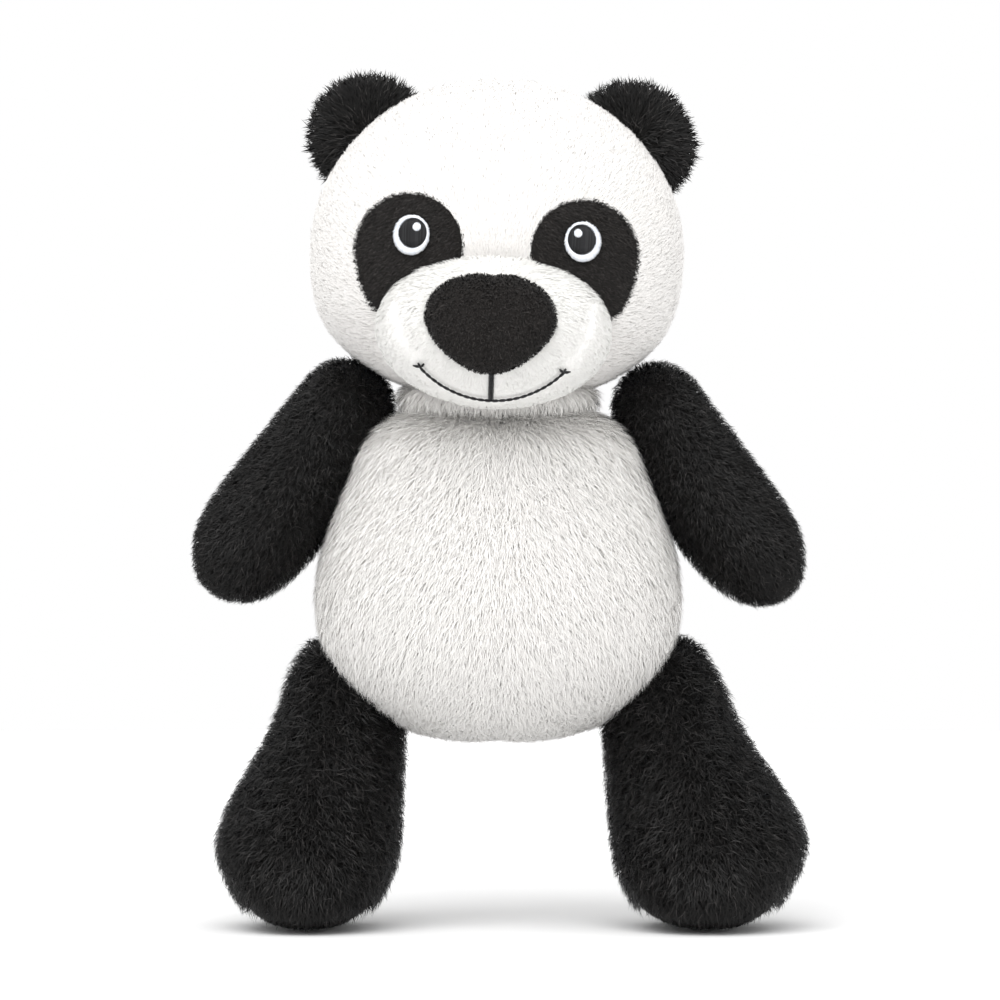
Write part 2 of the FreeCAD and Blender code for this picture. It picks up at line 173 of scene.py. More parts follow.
def plain_shader(name: str, colour: Colour, roughness: float, sheen: float,
                 sheen_tint: Colour = (1.0, 1.0, 1.0)) -> bpy.types.Material:
    """A material whose shader has even values set on its own sockets.

    Args:
        name: The material's name.
        colour: Base colour.
        roughness: How matt it is.
        sheen: Weight of the soft sheen at the edges.
        sheen_tint: Colour of that sheen.

    Returns:
        The material.
    """
    material = bpy.data.materials.new(name)
    material.use_nodes = True
    shader = material.node_tree.nodes["Principled BSDF"]
    shader.inputs["Base Color"].default_value = (*colour, 1.0)
    shader.inputs["Roughness"].default_value = roughness
    shader.inputs["Sheen Weight"].default_value = sheen
    shader.inputs["Sheen Roughness"].default_value = 0.4
    shader.inputs["Sheen Tint"].default_value = (*sheen_tint, 1.0)
    shader.inputs["Specular IOR Level"].default_value = 0.25
    return material


@dataclass(frozen=True)
class Cloth:
    """A knitted backing, clouded and slightly rough, as it shows between the strands."""

    name: str
    colour: Colour
    shade: Colour
    roughness: float = 0.9
    sheen: float = 0.2
    patch: float = 9 * MM
    grain: float = 0.9 * MM
    amount: float = 1.6
    relief: float = 0.35

    def material(self) -> bpy.types.Material:
        """The material, made on first use."""
        if self.name in bpy.data.materials:
            return bpy.data.materials[self.name]
        material = plain_shader(self.name, self.colour, self.roughness, self.sheen)
        nodes, links = material.node_tree.nodes, material.node_tree.links
        mottle = nodes.new("ShaderNodeGroup")
        mottle.node_tree = mottle_group()
        mottle.inputs["Colour"].default_value = (*self.colour, 1.0)
        mottle.inputs["Shade"].default_value = (*self.shade, 1.0)
        mottle.inputs["Patch Scale"].default_value = 1 / self.patch
        mottle.inputs["Grain Scale"].default_value = 1 / self.grain
        mottle.inputs["Amount"].default_value = self.amount
        bump = nodes.new("ShaderNodeBump")
        bump.inputs["Strength"].default_value = self.relief
        bump.inputs["Distance"].default_value = self.grain
        shader = nodes["Principled BSDF"]
        links.new(mottle.outputs["Colour"], shader.inputs["Base Color"])
        links.new(mottle.outputs["Height"], bump.inputs["Height"])
        links.new(bump.outputs["Normal"], shader.inputs["Normal"])
        return material


@dataclass(frozen=True)
class Fibre:
    """Strands of pile: one colour at the roots and several along the strands."""

    name: str
    root: Colour
    shades: tuple[Colour, ...]
    shares: tuple[float, ...]
    roughness: float = 0.6
    sheen: float = 0.25
    sheen_tint: Colour = (1.0, 1.0, 1.0)
    soft: float = 0.92

    def materials(self) -> list[bpy.types.Material]:
        """The root's material and then one for each shade, made on first use."""
        made = []
        for index, colour in enumerate((self.root, *self.shades)):
            name = f"{self.name}_{index}"
            if name not in bpy.data.materials:
                plain_shader(name, colour, self.roughness, self.sheen, self.sheen_tint)
            made.append(bpy.data.materials[name])
        return made


WHITE_BACKING = Cloth("white_backing", (0.90, 0.885, 0.865), (0.84, 0.83, 0.815))
BLACK_BACKING = Cloth("black_backing", (0.004, 0.0036, 0.0034), (0.010, 0.009, 0.0085))
VELBOA_BACKING = Cloth("velboa_backing", (0.010, 0.0085, 0.0078), (0.022, 0.019, 0.0175))
FILLING = Cloth("fibre_filling_wad", (0.85, 0.85, 0.84), (0.62, 0.62, 0.60), patch=4 * MM, grain=0.5 * MM,
                relief=0.8)
WHITE_FIBRE = Fibre("white_strand", (0.90, 0.885, 0.865),
                    ((0.925, 0.905, 0.885), (0.91, 0.895, 0.875), (0.935, 0.92, 0.90), (0.885, 0.875, 0.86)),
                    (0.4, 0.25, 0.25, 0.1), sheen=0.1)
# Painted shade: a slightly greyer copy of the white strands, laid over the whole muzzle so that it reads
# darker than the forehead.
SHADED_MUZZLE_FIBRE = Fibre("muzzle_strand", (0.86, 0.855, 0.83),
                     ((0.88, 0.875, 0.85), (0.865, 0.86, 0.84), (0.895, 0.89, 0.865), (0.85, 0.845, 0.825)),
                     (0.4, 0.25, 0.25, 0.1), sheen=0.1)
LONG_WHITE_FIBRE = Fibre("long_white_strand", (0.87, 0.855, 0.83),
                         ((0.90, 0.885, 0.86), (0.88, 0.865, 0.845), (0.92, 0.905, 0.88), (0.85, 0.84, 0.82)),
                         (0.4, 0.25, 0.2, 0.15), sheen=0.1)
# The fourth, far lighter shade on about a tenth of the strands is a painted glint: sparse light strands that
# stand in for the sparkle on the black pile.
BLACK_FIBRE = Fibre("black_strand", (0.0016, 0.0014, 0.0013),
                    ((0.0020, 0.0017, 0.0015), (0.0050, 0.0041, 0.0036), (0.0014, 0.0012, 0.0011),
                     (0.028, 0.0255, 0.0245)),
                    (0.42, 0.23, 0.24, 0.11), roughness=0.45, sheen=0.02, sheen_tint=(0.75, 0.85, 1.0),
                    soft=0.3)
VELBOA_FIBRE = Fibre("velboa_strand", (0.006, 0.005, 0.0045),
                     ((0.013, 0.011, 0.010), (0.021, 0.018, 0.0165), (0.009, 0.0078, 0.007),
                      (0.036, 0.032, 0.030)),
                     (0.4, 0.25, 0.23, 0.12), roughness=0.6, sheen=0.03, sheen_tint=(0.85, 0.9, 1.0),
                     soft=0.35)
WHITE_THREAD = Fibre("white_satin", (0.62, 0.66, 0.72),
                     ((0.84, 0.87, 0.92), (0.78, 0.82, 0.89), (0.90, 0.92, 0.95)), (0.4, 0.3, 0.3),
                     roughness=0.35, sheen=0.1)
GREY_THREAD = Fibre("charcoal_satin", (0.010, 0.010, 0.011),
                    ((0.020, 0.020, 0.022), (0.030, 0.030, 0.032), (0.014, 0.014, 0.015)), (0.4, 0.3, 0.3),
                    roughness=0.38, sheen=0.1)
BLACK_THREAD = Fibre("black_satin", (0.004, 0.004, 0.005),
                     ((0.010, 0.010, 0.011), (0.018, 0.018, 0.020), (0.007, 0.007, 0.008)), (0.4, 0.3, 0.3),
                     roughness=0.35, sheen=0.1)
SEWING_THREAD = Fibre("sewing_thread", (0.60, 0.60, 0.58), ((0.80, 0.79, 0.77), (0.74, 0.73, 0.71)),
                      (0.5, 0.5), roughness=0.5, sheen=0.1)


# ---------------------------------------------------------------- covers


def new_object(name: str, mesh: bpy.types.Mesh) -> bpy.types.Object:
    """Put a mesh into the scene as an object."""
    piece = bpy.data.objects.new(name, mesh)
    bpy.context.scene.collection.objects.link(piece)
    return piece


def settle(piece: bpy.types.Object) -> None:
    """Replace a piece's mesh by what its modifiers make of it."""
    bpy.context.view_layer.update()
    graph = bpy.context.evaluated_depsgraph_get()
    mesh = bpy.data.meshes.new_from_object(piece.evaluated_get(graph))
    before = piece.data
    piece.modifiers.clear()
    piece.data = mesh
    mesh.name = piece.name
    bpy.data.meshes.remove(before)


def joint_place(name: str) -> tuple[float, float, float]:
    """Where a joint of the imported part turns."""
    joints = frame["record"]["behaviour"]["joints"]
    return next(tuple(joint["pos_m"]) for joint in joints if joint["name"] == name)


def get_points(mesh: bpy.types.Mesh) -> np.ndarray:
    """The places of a mesh's vertices, one row each."""
    flat = np.empty(len(mesh.vertices) * 3)
    mesh.vertices.foreach_get("co", flat)
    return flat.reshape(-1, 3)


def get_normals(mesh: bpy.types.Mesh) -> np.ndarray:
    """The normals of a mesh's vertices, one row each."""
    flat = np.empty(len(mesh.vertices) * 3)
    mesh.vertex_normals.foreach_get("vector", flat)
    return flat.reshape(-1, 3)


def set_points(mesh: bpy.types.Mesh, points: np.ndarray) -> None:
    """Move a mesh's vertices."""
    mesh.vertices.foreach_set("co", points.ravel())
    mesh.update()


def all_ways(count: int) -> np.ndarray:
    """Directions spread evenly over a sphere, one row each."""
    index = np.arange(count) + 0.5
    height = 1 - 2 * index / count
    around = math.pi * (1 + math.sqrt(5)) * index
    level = np.sqrt(1 - height ** 2)
    return np.stack([level * np.cos(around), level * np.sin(around), height], 1)


def taut_form(name: str, nodes: list[str], extra: np.ndarray | None = None,
              ways: int = 1600) -> bpy.types.Object:
    """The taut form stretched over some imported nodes.

    Args:
        name: Name of the new object.
        nodes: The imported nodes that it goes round.
        extra: Other points that it goes round.
        ways: How many directions the form is felt from.

    Returns:
        An object with a closed mesh.
    """
    clouds = [get_points(frame["nodes"][node].data) for node in nodes]
    cloud = np.concatenate(clouds if extra is None else [*clouds, extra])
    found: set[int] = set()
    for batch in np.array_split(all_ways(ways), 16):
        found.update(np.argmax(cloud @ batch.T, axis=0).tolist())
    form = bmesh.new()
    for row in cloud[sorted(found)]:
        form.verts.new(row)
    bmesh.ops.remove_doubles(form, verts=form.verts, dist=0.4 * MM)
    result = bmesh.ops.convex_hull(form, input=form.verts)
    loose = [item for item in result["geom_interior"] + result["geom_unused"]
             if isinstance(item, bmesh.types.BMVert)]
    bmesh.ops.delete(form, geom=loose, context="VERTS")
    bmesh.ops.recalc_face_normals(form, faces=form.faces)
    return to_object(form, name)


def oval_rows(middle: np.ndarray, semi: tuple[float, float, float], count: int = 500) -> np.ndarray:
    """Points spread over an oval, one row each."""
    return middle + all_ways(count) * semi


def face_tree(mesh: bpy.types.Mesh) -> BVHTree:
    """The faces of a mesh, to be felt with rays."""
    return BVHTree.FromPolygons([vertex.co.copy() for vertex in mesh.vertices],
                                [tuple(polygon.vertices) for polygon in mesh.polygons])


def bridge(form: bmesh.types.BMesh, rows: list[list[bmesh.types.BMVert]]) -> list[bmesh.types.BMFace]:
    """Join each closed row of points to the next with a band of faces.

    Args:
        form: The mesh that the points are in.
        rows: The rows, all with the same number of points.

    Returns:
        The faces made.
    """
    faces = []
    for lower, upper in zip(rows, rows[1:]):
        for index in range(len(lower)):
            after = (index + 1) % len(lower)
            faces.append(form.faces.new((lower[index], lower[after], upper[after], upper[index])))
    return faces


def to_object(form: bmesh.types.BMesh, name: str) -> bpy.types.Object:
    """Turn a finished form into an object of the scene."""
    mesh = bpy.data.meshes.new(name)
    form.to_mesh(mesh)
    form.free()
    return new_object(name, mesh)


def knit(piece: bpy.types.Object, voxel: float, rounds: int) -> None:
    """Give a piece an even mesh and smooth it.

    Args:
        piece: The piece.
        voxel: Size of the mesh's faces.
        rounds: How often it is smoothed.
    """
    remesh = piece.modifiers.new("knit", "REMESH")
    remesh.mode = "VOXEL"
    remesh.voxel_size = voxel
    soften = piece.modifiers.new("soften", "SMOOTH")
    soften.factor = 0.5
    soften.iterations = rounds
    settle(piece)


def clothe(piece: bpy.types.Object, cloth: Cloth) -> None:
    """Shade a piece smoothly and give it its cloth."""
    for polygon in piece.data.polygons:
        polygon.use_smooth = True
    piece.data.materials.clear()
    piece.data.materials.append(cloth.material())


def turned_form(name: str, nodes: list[str], rings: int = 48, segments: int = 64) -> bpy.types.Object:
    """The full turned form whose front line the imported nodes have, without the hollows at its sides.

    Args:
        name: Name of the new object.
        nodes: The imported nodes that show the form.
        rings: Level rings from bottom to top.
        segments: Points in a ring.

    Returns:
        An object with a closed mesh.
    """
    cloud = np.concatenate([get_points(frame["nodes"][node].data) for node in nodes])
    low, high = cloud.min(0), cloud.max(0)
    middle, size = (low + high) / 2, high - low
    trees = [face_tree(frame["nodes"][node].data) for node in nodes]
    edge = 0.6 * MM
    levels = low[2] + edge + (1 - np.cos(np.linspace(0, math.pi, rings))) / 2 * (size[2] - 2 * edge)
    form = bmesh.new()
    rows = []
    for level in levels:
        hits = [tree.ray_cast(Vector((middle[0] + shift, -1.0, level)), BACKWARD)[0]
                for tree in trees for shift in (-MM, MM)]
        depth = max((middle[1] - hit.y for hit in hits if hit is not None), default=MM)
        row = []
        for segment in range(segments):
            angle = math.tau * segment / segments
            row.append(form.verts.new((middle[0] + depth * size[0] / size[1] * math.cos(angle),
                                       middle[1] + depth * math.sin(angle), level)))
        rows.append(row)
    form.faces.new(rows[0][::-1])
    form.faces.new(rows[-1])
    bridge(form, rows)
    return to_object(form, name)


def puff(piece: bpy.types.Object, limit: float, pressure: float = 4.0, frames: int = 20) -> None:
    """Blow a cover up from inside as its filling does, and keep the shape it takes.

    Args:
        piece: The cover.
        limit: The farthest that a point may move.
        pressure: Pressure of the filling.
        frames: How many steps the cover has to come to rest.
    """
    scene = bpy.context.scene
    before = get_points(piece.data)
    cloth = piece.modifiers.new("filling", "CLOTH")
    cloth.settings.quality = 5
    cloth.settings.mass = 0.3
    cloth.settings.use_pressure = True
    cloth.settings.uniform_pressure_force = pressure
    cloth.settings.effector_weights.gravity = 0.0
    cloth.point_cache.frame_start = 1
    cloth.point_cache.frame_end = frames
    for step in range(1, frames + 1):
        scene.frame_set(step)
    graph = bpy.context.evaluated_depsgraph_get()
    after = get_points(piece.evaluated_get(graph).data)
    piece.modifiers.clear()
    move = after - before
    length = np.linalg.norm(move, axis=1, keepdims=True)
    set_points(piece.data, before + move * np.minimum(1.0, limit / np.maximum(length, 1e-9)))
    scene.frame_set(1)


@dataclass
class Cover:
    """A stuffed cover: the skin that the pile grows on."""

    piece: bpy.types.Object

    def __post_init__(self) -> None:
        """Read the skin's points, normals and triangles."""
        mesh = self.piece.data
        mesh.calc_loop_triangles()
        self.points = get_points(mesh)
        self.normals = get_normals(mesh)
        flat = np.empty(len(mesh.loop_triangles) * 3, dtype=np.int32)
        mesh.loop_triangles.foreach_get("vertices", flat)
        self.triangles = flat.reshape(-1, 3)
        self.tree = BVHTree.FromPolygons([Vector(row) for row in self.points], self.triangles.tolist())

    def scatter(self, density: float, rng: np.random.Generator) -> tuple[np.ndarray, np.ndarray]:
        """Spread roots evenly over the skin.

        Args:
            density: Roots per square millimetre.
            rng: The random numbers to draw from.

        Returns:
            The roots and the skin's normals there.
        """
        corners = self.points[self.triangles]
        across = np.cross(corners[:, 1] - corners[:, 0], corners[:, 2] - corners[:, 0])
        area = np.linalg.norm(across, axis=1) / 2
        count = int(area.sum() / MM ** 2 * density)
        chosen = rng.choice(len(area), size=count, p=area / area.sum())
        first, second = rng.random(count), rng.random(count)
        over = first + second > 1
        first[over], second[over] = 1 - first[over], 1 - second[over]
        shares = np.stack([1 - first - second, first, second], 1)[:, :, None]
        roots = (corners[chosen] * shares).sum(1)
        normals = unit((self.normals[self.triangles[chosen]] * shares).sum(1))
        return roots, normals

    def front(self, x: float, z: float, rise: float = 0.0) -> Vector:
        """The point of the skin's front at a place and height, raised along the normal."""
        hit = self.tree.ray_cast(Vector((x, -1.0, z)), BACKWARD)
        if hit[0] is None:
            near = self.tree.find_nearest(Vector((x, CAD_BOX[0][1], z)))
            return near[0] + near[1] * rise
        return hit[0] + hit[1] * rise

    def inside(self, points: np.ndarray, margin: float = 0.0) -> np.ndarray:
        """Whether each point is inside the skin by more than a margin."""
        answer = np.zeros(len(points), dtype=bool)
        low, high = self.points.min(0), self.points.max(0)
        for index in np.flatnonzero(((points > low) & (points < high)).all(1)):
            point = Vector(points[index])
            near = self.tree.find_nearest(point)
            answer[index] = (point - near[0]).dot(near[1]) < -margin
        return answer


@dataclass(frozen=True)
class CoverMaker:
    """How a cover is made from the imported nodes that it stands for."""

    pile: float
    voxel: float = 4.5 * MM
    swell: float = 2.5 * MM
    smooth: int = 3
    hold: float = 0.8

    def make(self, name: str, nodes: list[str], finish: Cloth,
             form: bpy.types.Object | None = None) -> bpy.types.Object:
        """Build the stuffed skin, under the tips of its pile.

        Args:
            name: Name of the piece.
            nodes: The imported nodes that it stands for.
            finish: The cloth that it is made of.
            form: The taut form to start from, where it isn't the one over the nodes.

        Returns:
            The piece.
        """
        piece = form or taut_form(name, nodes)
        fit = face_tree(piece.data)
        knit(piece, self.voxel, self.smooth)
        inset = get_points(piece.data) - get_normals(piece.data) * (self.pile + self.swell * 0.8)
        set_points(piece.data, inset)
        puff(piece, self.swell)
        points = get_points(piece.data)
        for index, point in enumerate(points):
            near = fit.find_nearest(Vector(point))
            points[index] += (np.array(near[0] - near[1] * self.pile) - point) * self.hold
        set_points(piece.data, points)
        finer = piece.modifiers.new("finer", "SUBSURF")
        finer.levels = 1
        finer.render_levels = 1
        settle(piece)
        clothe(piece, finish)
        return piece


# ---------------------------------------------------------------- pile


@dataclass(frozen=True)
class Pile:
    """How a pile's strands stand."""

    length: float
    width: float
    density: float
    lift: float = 0.6
    vary: float = 0.3
    tuft: float = 2.2 * MM
    gather: float = 0.45
    frizz: float = 0.3


def tuft_middles(roots: np.ndarray, spacing: float, seed: int) -> np.ndarray:
    """The middle of the tuft that each strand belongs to.

    Args:
        roots: The strands' roots.
        spacing: Distance between tufts.
        seed: Chooses the pattern of the tufts.

    Returns:
        One tuft middle for each root.
    """
    cell = np.floor(roots / spacing).astype(np.int64)
    best = np.full(len(roots), np.inf)
    middles = roots.copy()
    for step in np.ndindex(3, 3, 3):
        place = cell + np.array(step) - 1
        key = place[:, 0] * 73856093 ^ place[:, 1] * 19349663 ^ place[:, 2] * 83492791 ^ seed * 2654435
        jitter = np.stack([((key >> shift) * 40503 % 1009) / 1009 for shift in (0, 5, 11)], 1)
        middle = (place + jitter) * spacing
        distance = ((middle - roots) ** 2).sum(1)
        nearer = distance < best
        best[nearer] = distance[nearer]
        middles[nearer] = middle[nearer]
    return middles


@dataclass
class Coat:
    """The pile of one cover."""

    name: str
    cover: Cover
    pile: Pile
    fibre: Fibre
    slot: Slot
    body: str
    seed: int

    def lay(self, roots: np.ndarray, normals: np.ndarray) -> np.ndarray:
        """The way that the pile is brushed at each root: down."""
        return np.tile((0.0, 0.0, -1.0), (len(roots), 1))

    def trim(self, roots: np.ndarray, normals: np.ndarray) -> np.ndarray:
        """How much of its length each strand keeps; none where it is 0."""
        return np.ones(len(roots))

    def bare(self, tips: np.ndarray) -> np.ndarray:
        """Which tips would reach where no strand may."""
        return np.zeros(len(tips), dtype=bool)

    def grow(self) -> bpy.types.Object:
        """Grow the strands and dress them.

        Returns:
            The piece with all the strands.
        """
        rng = np.random.default_rng(self.seed)
        pile = self.pile
        roots, normals = self.cover.scatter(pile.density, rng)
        flow = self.lay(roots, normals) + rng.normal(0, pile.frizz, roots.shape)
        flow = unit(flow - normals * (flow * normals).sum(1, keepdims=True))
        length = pile.length * (1 + pile.vary * rng.uniform(-1, 1, len(roots))) * self.trim(roots, normals)
        stray = rng.normal(0, pile.frizz * 0.5, (2, *roots.shape))
        rise = unit(normals * pile.lift + flow * (1 - pile.lift) + stray[0] * 0.5)
        bend = unit(normals * pile.lift * 0.45 + flow + stray[1] * 0.6)
        middle = roots + rise * length[:, None] * 0.5
        tip = middle + bend * length[:, None] * 0.5
        gathered = tuft_middles(roots, pile.tuft, self.seed)
        gathered -= normals * ((gathered - roots) * normals).sum(1, keepdims=True)
        pull = (gathered - roots) * (pile.gather * rng.uniform(0.4, 1.0, len(roots)))[:, None]
        middle, tip = middle + pull * 0.35, tip + pull
        kept = (length > pile.length * 0.05) & ~self.bare(tip) & ~self.bare(middle)
        kept &= tip[:, 2] > 0.2 * MM
        roots, normals, flow = roots[kept], normals[kept], flow[kept]
        middle, tip = middle[kept], tip[kept]
        twist = rng.normal(0, 0.35, (len(roots), 1))
        across = unit(np.cross(flow, normals) + normals * twist) * pile.width / 2
        corners = np.stack([roots - across, roots + across, middle + across * 0.9, middle - across * 0.9,
                            tip], 1)
        piece = strand_piece(self.name, corners, normals, rng, self.fibre)
        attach(piece, self.body)
        LOG.info("%s: %d strands", self.name, len(roots))
        return piece


def strand_piece(name: str, corners: np.ndarray, normals: np.ndarray, rng: np.random.Generator,
                 fibre: Fibre) -> bpy.types.Object:
    """Strands as slim blades of one quad and one tip triangle each, shaded softly with their skin.

    Args:
        name: Name of the piece.
        corners: Five corners for each strand.
        normals: The skin's normal at each strand.
        rng: The random numbers to draw from.
        fibre: The strands' finish.

    Returns:
        The piece.
    """
    count = len(corners)
    mesh = bpy.data.meshes.new(name)
    mesh.vertices.add(count * 5)
    mesh.vertices.foreach_set("co", corners.ravel())
    start = np.arange(count)[:, None]
    mesh.loops.add(count * 7)
    mesh.loops.foreach_set("vertex_index", (start * 5 + np.array([0, 1, 2, 3, 3, 2, 4])).ravel())
    mesh.polygons.add(count * 2)
    mesh.polygons.foreach_set("loop_start", (start * 7 + np.array([0, 4])).ravel())
    shade = rng.choice(len(fibre.shades), size=count, p=np.array(fibre.shares)) + 1
    lower = np.where(rng.random(count) < 0.6, 0, shade)
    mesh.polygons.foreach_set("material_index", np.stack([lower, shade], 1).ravel().astype(np.int32))
    for material in fibre.materials():
        mesh.materials.append(material)
    mesh.update(calc_edges=True)
    soft = get_normals(mesh) * (1 - fibre.soft) + np.repeat(normals, 5, axis=0) * fibre.soft
    mesh.normals_split_custom_set_from_vertices(unit(soft))
    return new_object(name, mesh)


# ---------------------------------------------------------------- threads


@dataclass(frozen=True)
class Stitch:
    """Threads of one width, laid side by side as satin stitch or in a line."""

    width: float
    height: float
    fibre: Fibre
    slot: Slot
    body: str

    def make(self, name: str, paths: list[list[Vector]], outward: list[Vector], seed: int,
             replaces: tuple[str, ...] = ()) -> bpy.types.Object:
        """Build rounded threads along their paths.

        Args:
            name: Name of the piece.
            paths: The points of each thread.
            outward: The way that each thread faces.
            seed: Chooses the threads' shades.
            replaces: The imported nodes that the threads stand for.

        Returns:
            The piece.
        """
        rng = np.random.default_rng(seed)
        form = bmesh.new()
        sides = 6
        for path, out in zip(paths, outward):
            shade = int(rng.choice(len(self.fibre.shades), p=np.array(self.fibre.shares))) + 1
            rings = []
            for index, point in enumerate(path):
                ahead = path[min(index + 1, len(path) - 1)] - path[max(index - 1, 0)]
                across = ahead.cross(out).normalized()
                end = 0.45 if index in (0, len(path) - 1) else 1.0
                ring = []
                for corner in range(sides):
                    angle = math.tau * corner / sides
                    offset = (across * math.cos(angle) * self.width / 2
                              + out * math.sin(angle) * self.height / 2)
                    ring.append(form.verts.new(point + offset * end))
                rings.append(ring)
            ends = [form.faces.new(rings[0][::-1]), form.faces.new(rings[-1])]
            for face in ends + bridge(form, rings):
                face.smooth = True
                face.material_index = shade
        bmesh.ops.recalc_face_normals(form, faces=form.faces)
        piece = to_object(form, name)
        for material in self.fibre.materials():
            piece.data.materials.append(material)
        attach(piece, self.body)
        if replaces:
            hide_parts(*replaces)
        return piece


# ---------------------------------------------------------------- head


@dataclass
class Muzzle:
    """The raised mound of the muzzle with its padded nose and stitched mouth."""

    lean: float
    middle: float
    pile: Pile = Pile(2.4 * MM, 0.24 * MM, 3.2, lift=0.34, vary=0.2, gather=0.1, frizz=0.22)
    squeeze: float = 0.955
    nose_x: float = -0.9 * MM
    nose_half_width: float = 19.2 * MM
    nose_top: float = 12.6 * MM
    nose_drop: float = 15.6 * MM
    nose_level: float = 183.2 * MM
    nose_rise: float = 7.0 * MM
    nose_rim: float = 2.5 * MM
    nose_pile: Pile = Pile(1.3 * MM, 0.3 * MM, 5.0, lift=0.7, tuft=1.3 * MM, gather=0.6, frizz=0.9)
    smile_radius: float = 29.3 * MM
    smile_centre: float = 189.9 * MM
    smile_half_angle: float = 45.2
    smile_thread: float = 0.9 * MM
    bar_width: float = 1.7 * MM
    tick_ends: tuple[tuple[float, float], ...] = ((2.0, 0.5), (0.6, 1.2), (-1.3, 1.0))
    trim_width: float = 2.0 * MM

    def build(self) -> Cover:
        """Build the mound and everything on it.

        Returns:
            The muzzle's cover.
        """
        maker = CoverMaker(self.pile.length * 0.5, voxel=3.5 * MM, swell=1.5 * MM, smooth=3)
        piece = maker.make("muzzle_cover", ["muzzle_panel", "muzzle_stuffing"], WHITE_BACKING)
        set_points(piece.data, get_points(piece.data) * (self.squeeze, 1.0, 1.0))
        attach(piece, "head")
        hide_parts("muzzle_panel", "muzzle_stuffing")
        cover = Cover(piece)
        self.tip = cover.front(*self.on_face(0.0, self.nose_level))
        # The muzzle's pile takes the greyer copy of the white strands: painted shade on the muzzle.
        MuzzleCoat("muzzle_pile", cover, self.pile, SHADED_MUZZLE_FIBRE, Slot.WHITE, "head", 21, self).grow()
        self.build_nose(cover)
        self.build_mouth(cover)
        return cover

    def on_face(self, x: float, z: float) -> tuple[float, float]:
        """Turn a place on the upright face with the head's lean."""
        return leaned(x, z, self.middle, self.lean)

    def nose_outline(self, angle: float, share: float) -> tuple[float, float]:
        """A place on the nose, flat arched above and drawn to a point below.

        Args:
            angle: Direction from the nose's middle, 0 to the toy's left.
            share: Share of the way out to the edge.

        Returns:
            The place and height on the upright face.
        """
        side, rise = math.cos(angle), math.sin(angle)
        power, reach = (2 / 2.3, self.nose_top) if rise >= 0 else (2 / 1.6, self.nose_drop)
        x = self.nose_half_width * math.copysign(abs(side) ** power, side)
        z = reach * math.copysign(abs(rise) ** power, rise)
        return self.nose_x + x * share, self.nose_level + z * share

    def build_nose(self, cover: Cover) -> None:
        """Build the padded nose and its looped pile.

        Args:
            cover: The muzzle's cover.
        """
        form = bmesh.new()
        rings, segments = 14, 64
        rows = []
        for ring in range(rings + 1):
            share = ring / rings
            row = []
            for segment in range(segments):
                angle = math.tau * segment / segments
                x, z = self.nose_outline(angle, share)
                dent = 0.9 * MM * math.exp(-((x - self.nose_x) / (2.2 * MM)) ** 2)
                rise = self.nose_rise * math.sqrt(max(0.0, 1 - share ** 2.6)) - dent
                row.append(form.verts.new(cover.front(*self.on_face(x, z), rise - 0.4 * MM)))
            rows.append(row)
        rows.append([form.verts.new(vert.co + BACKWARD * self.nose_rim) for vert in rows[-1]])
        bridge(form, rows)
        form.faces.new(rows[-1][::-1])
        bmesh.ops.remove_doubles(form, verts=form.verts, dist=0.05 * MM)
        bmesh.ops.recalc_face_normals(form, faces=form.faces)
        piece = to_object(form, "nose")
        clothe(piece, VELBOA_BACKING)
        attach(piece, "head")
        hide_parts("nose_cover", "nose_padding")
        Coat("nose_pile", Cover(piece), self.nose_pile, VELBOA_FIBRE, Slot.VELBOA, "head", 22).grow()

    def build_mouth(self, cover: Cover) -> None:
        """Stitch the mouth: the bar under the nose, the smile and its ends.

        Args:
            cover: The muzzle's cover.
        """
        lift = self.pile.length * 0.36
        bottom = self.smile_centre - self.smile_radius

        def path(places: list[tuple[float, float]], rise: float) -> list[Vector]:
            """Lay places of the upright face on the muzzle."""
            return [cover.front(*self.on_face(x, z), rise) for x, z in places]

        paths, outward = [], []
        rows = 30
        top = self.nose_level - self.nose_drop + 1.5 * MM
        for row in range(rows):
            z = bottom + (top - bottom) * row / (rows - 1)
            half = self.bar_width / 2
            slant = 0.25 * MM
            paths.append(path([(-half, z - slant), (0, z), (half, z + slant)], lift))
            outward.append(FORWARD)
        bar = Stitch(0.42 * MM, 0.7 * MM, BLACK_THREAD, Slot.BLACK_THREAD, "head")
        bar.make("mouth_bar", paths, outward, 31)
        paths, outward = [], []
        stitches = 22
        reach = math.radians(self.smile_half_angle)
        for index in range(stitches):
            first = -reach + 2 * reach * index / stitches
            last = first + 2 * reach / stitches * 1.25
            places = []
            for step in range(4):
                angle = first + (last - first) * step / 3
                places.append((math.sin(angle) * self.smile_radius,
                               self.smile_centre - math.cos(angle) * self.smile_radius))
            paths.append(path(places, lift + 0.2 * MM))
            outward.append(FORWARD)
        for side in Side:
            end_x = side.value * math.sin(reach) * self.smile_radius
            end_z = self.smile_centre - math.cos(reach) * self.smile_radius
            for dx, dz in self.tick_ends:
                far = (end_x + side.value * dx * MM, end_z + dz * MM)
                near = (end_x - side.value * 0.3 * MM, end_z)
                half_way = ((far[0] + near[0]) / 2, (far[1] + near[1]) / 2)
                paths.append(path([near, half_way, far], lift + 0.25 * MM))
                outward.append(FORWARD)
        smile = Stitch(self.smile_thread, self.smile_thread, BLACK_THREAD, Slot.BLACK_THREAD, "head")
        smile.make("mouth_smile", paths, outward, 32, ("mouth_stitching",))


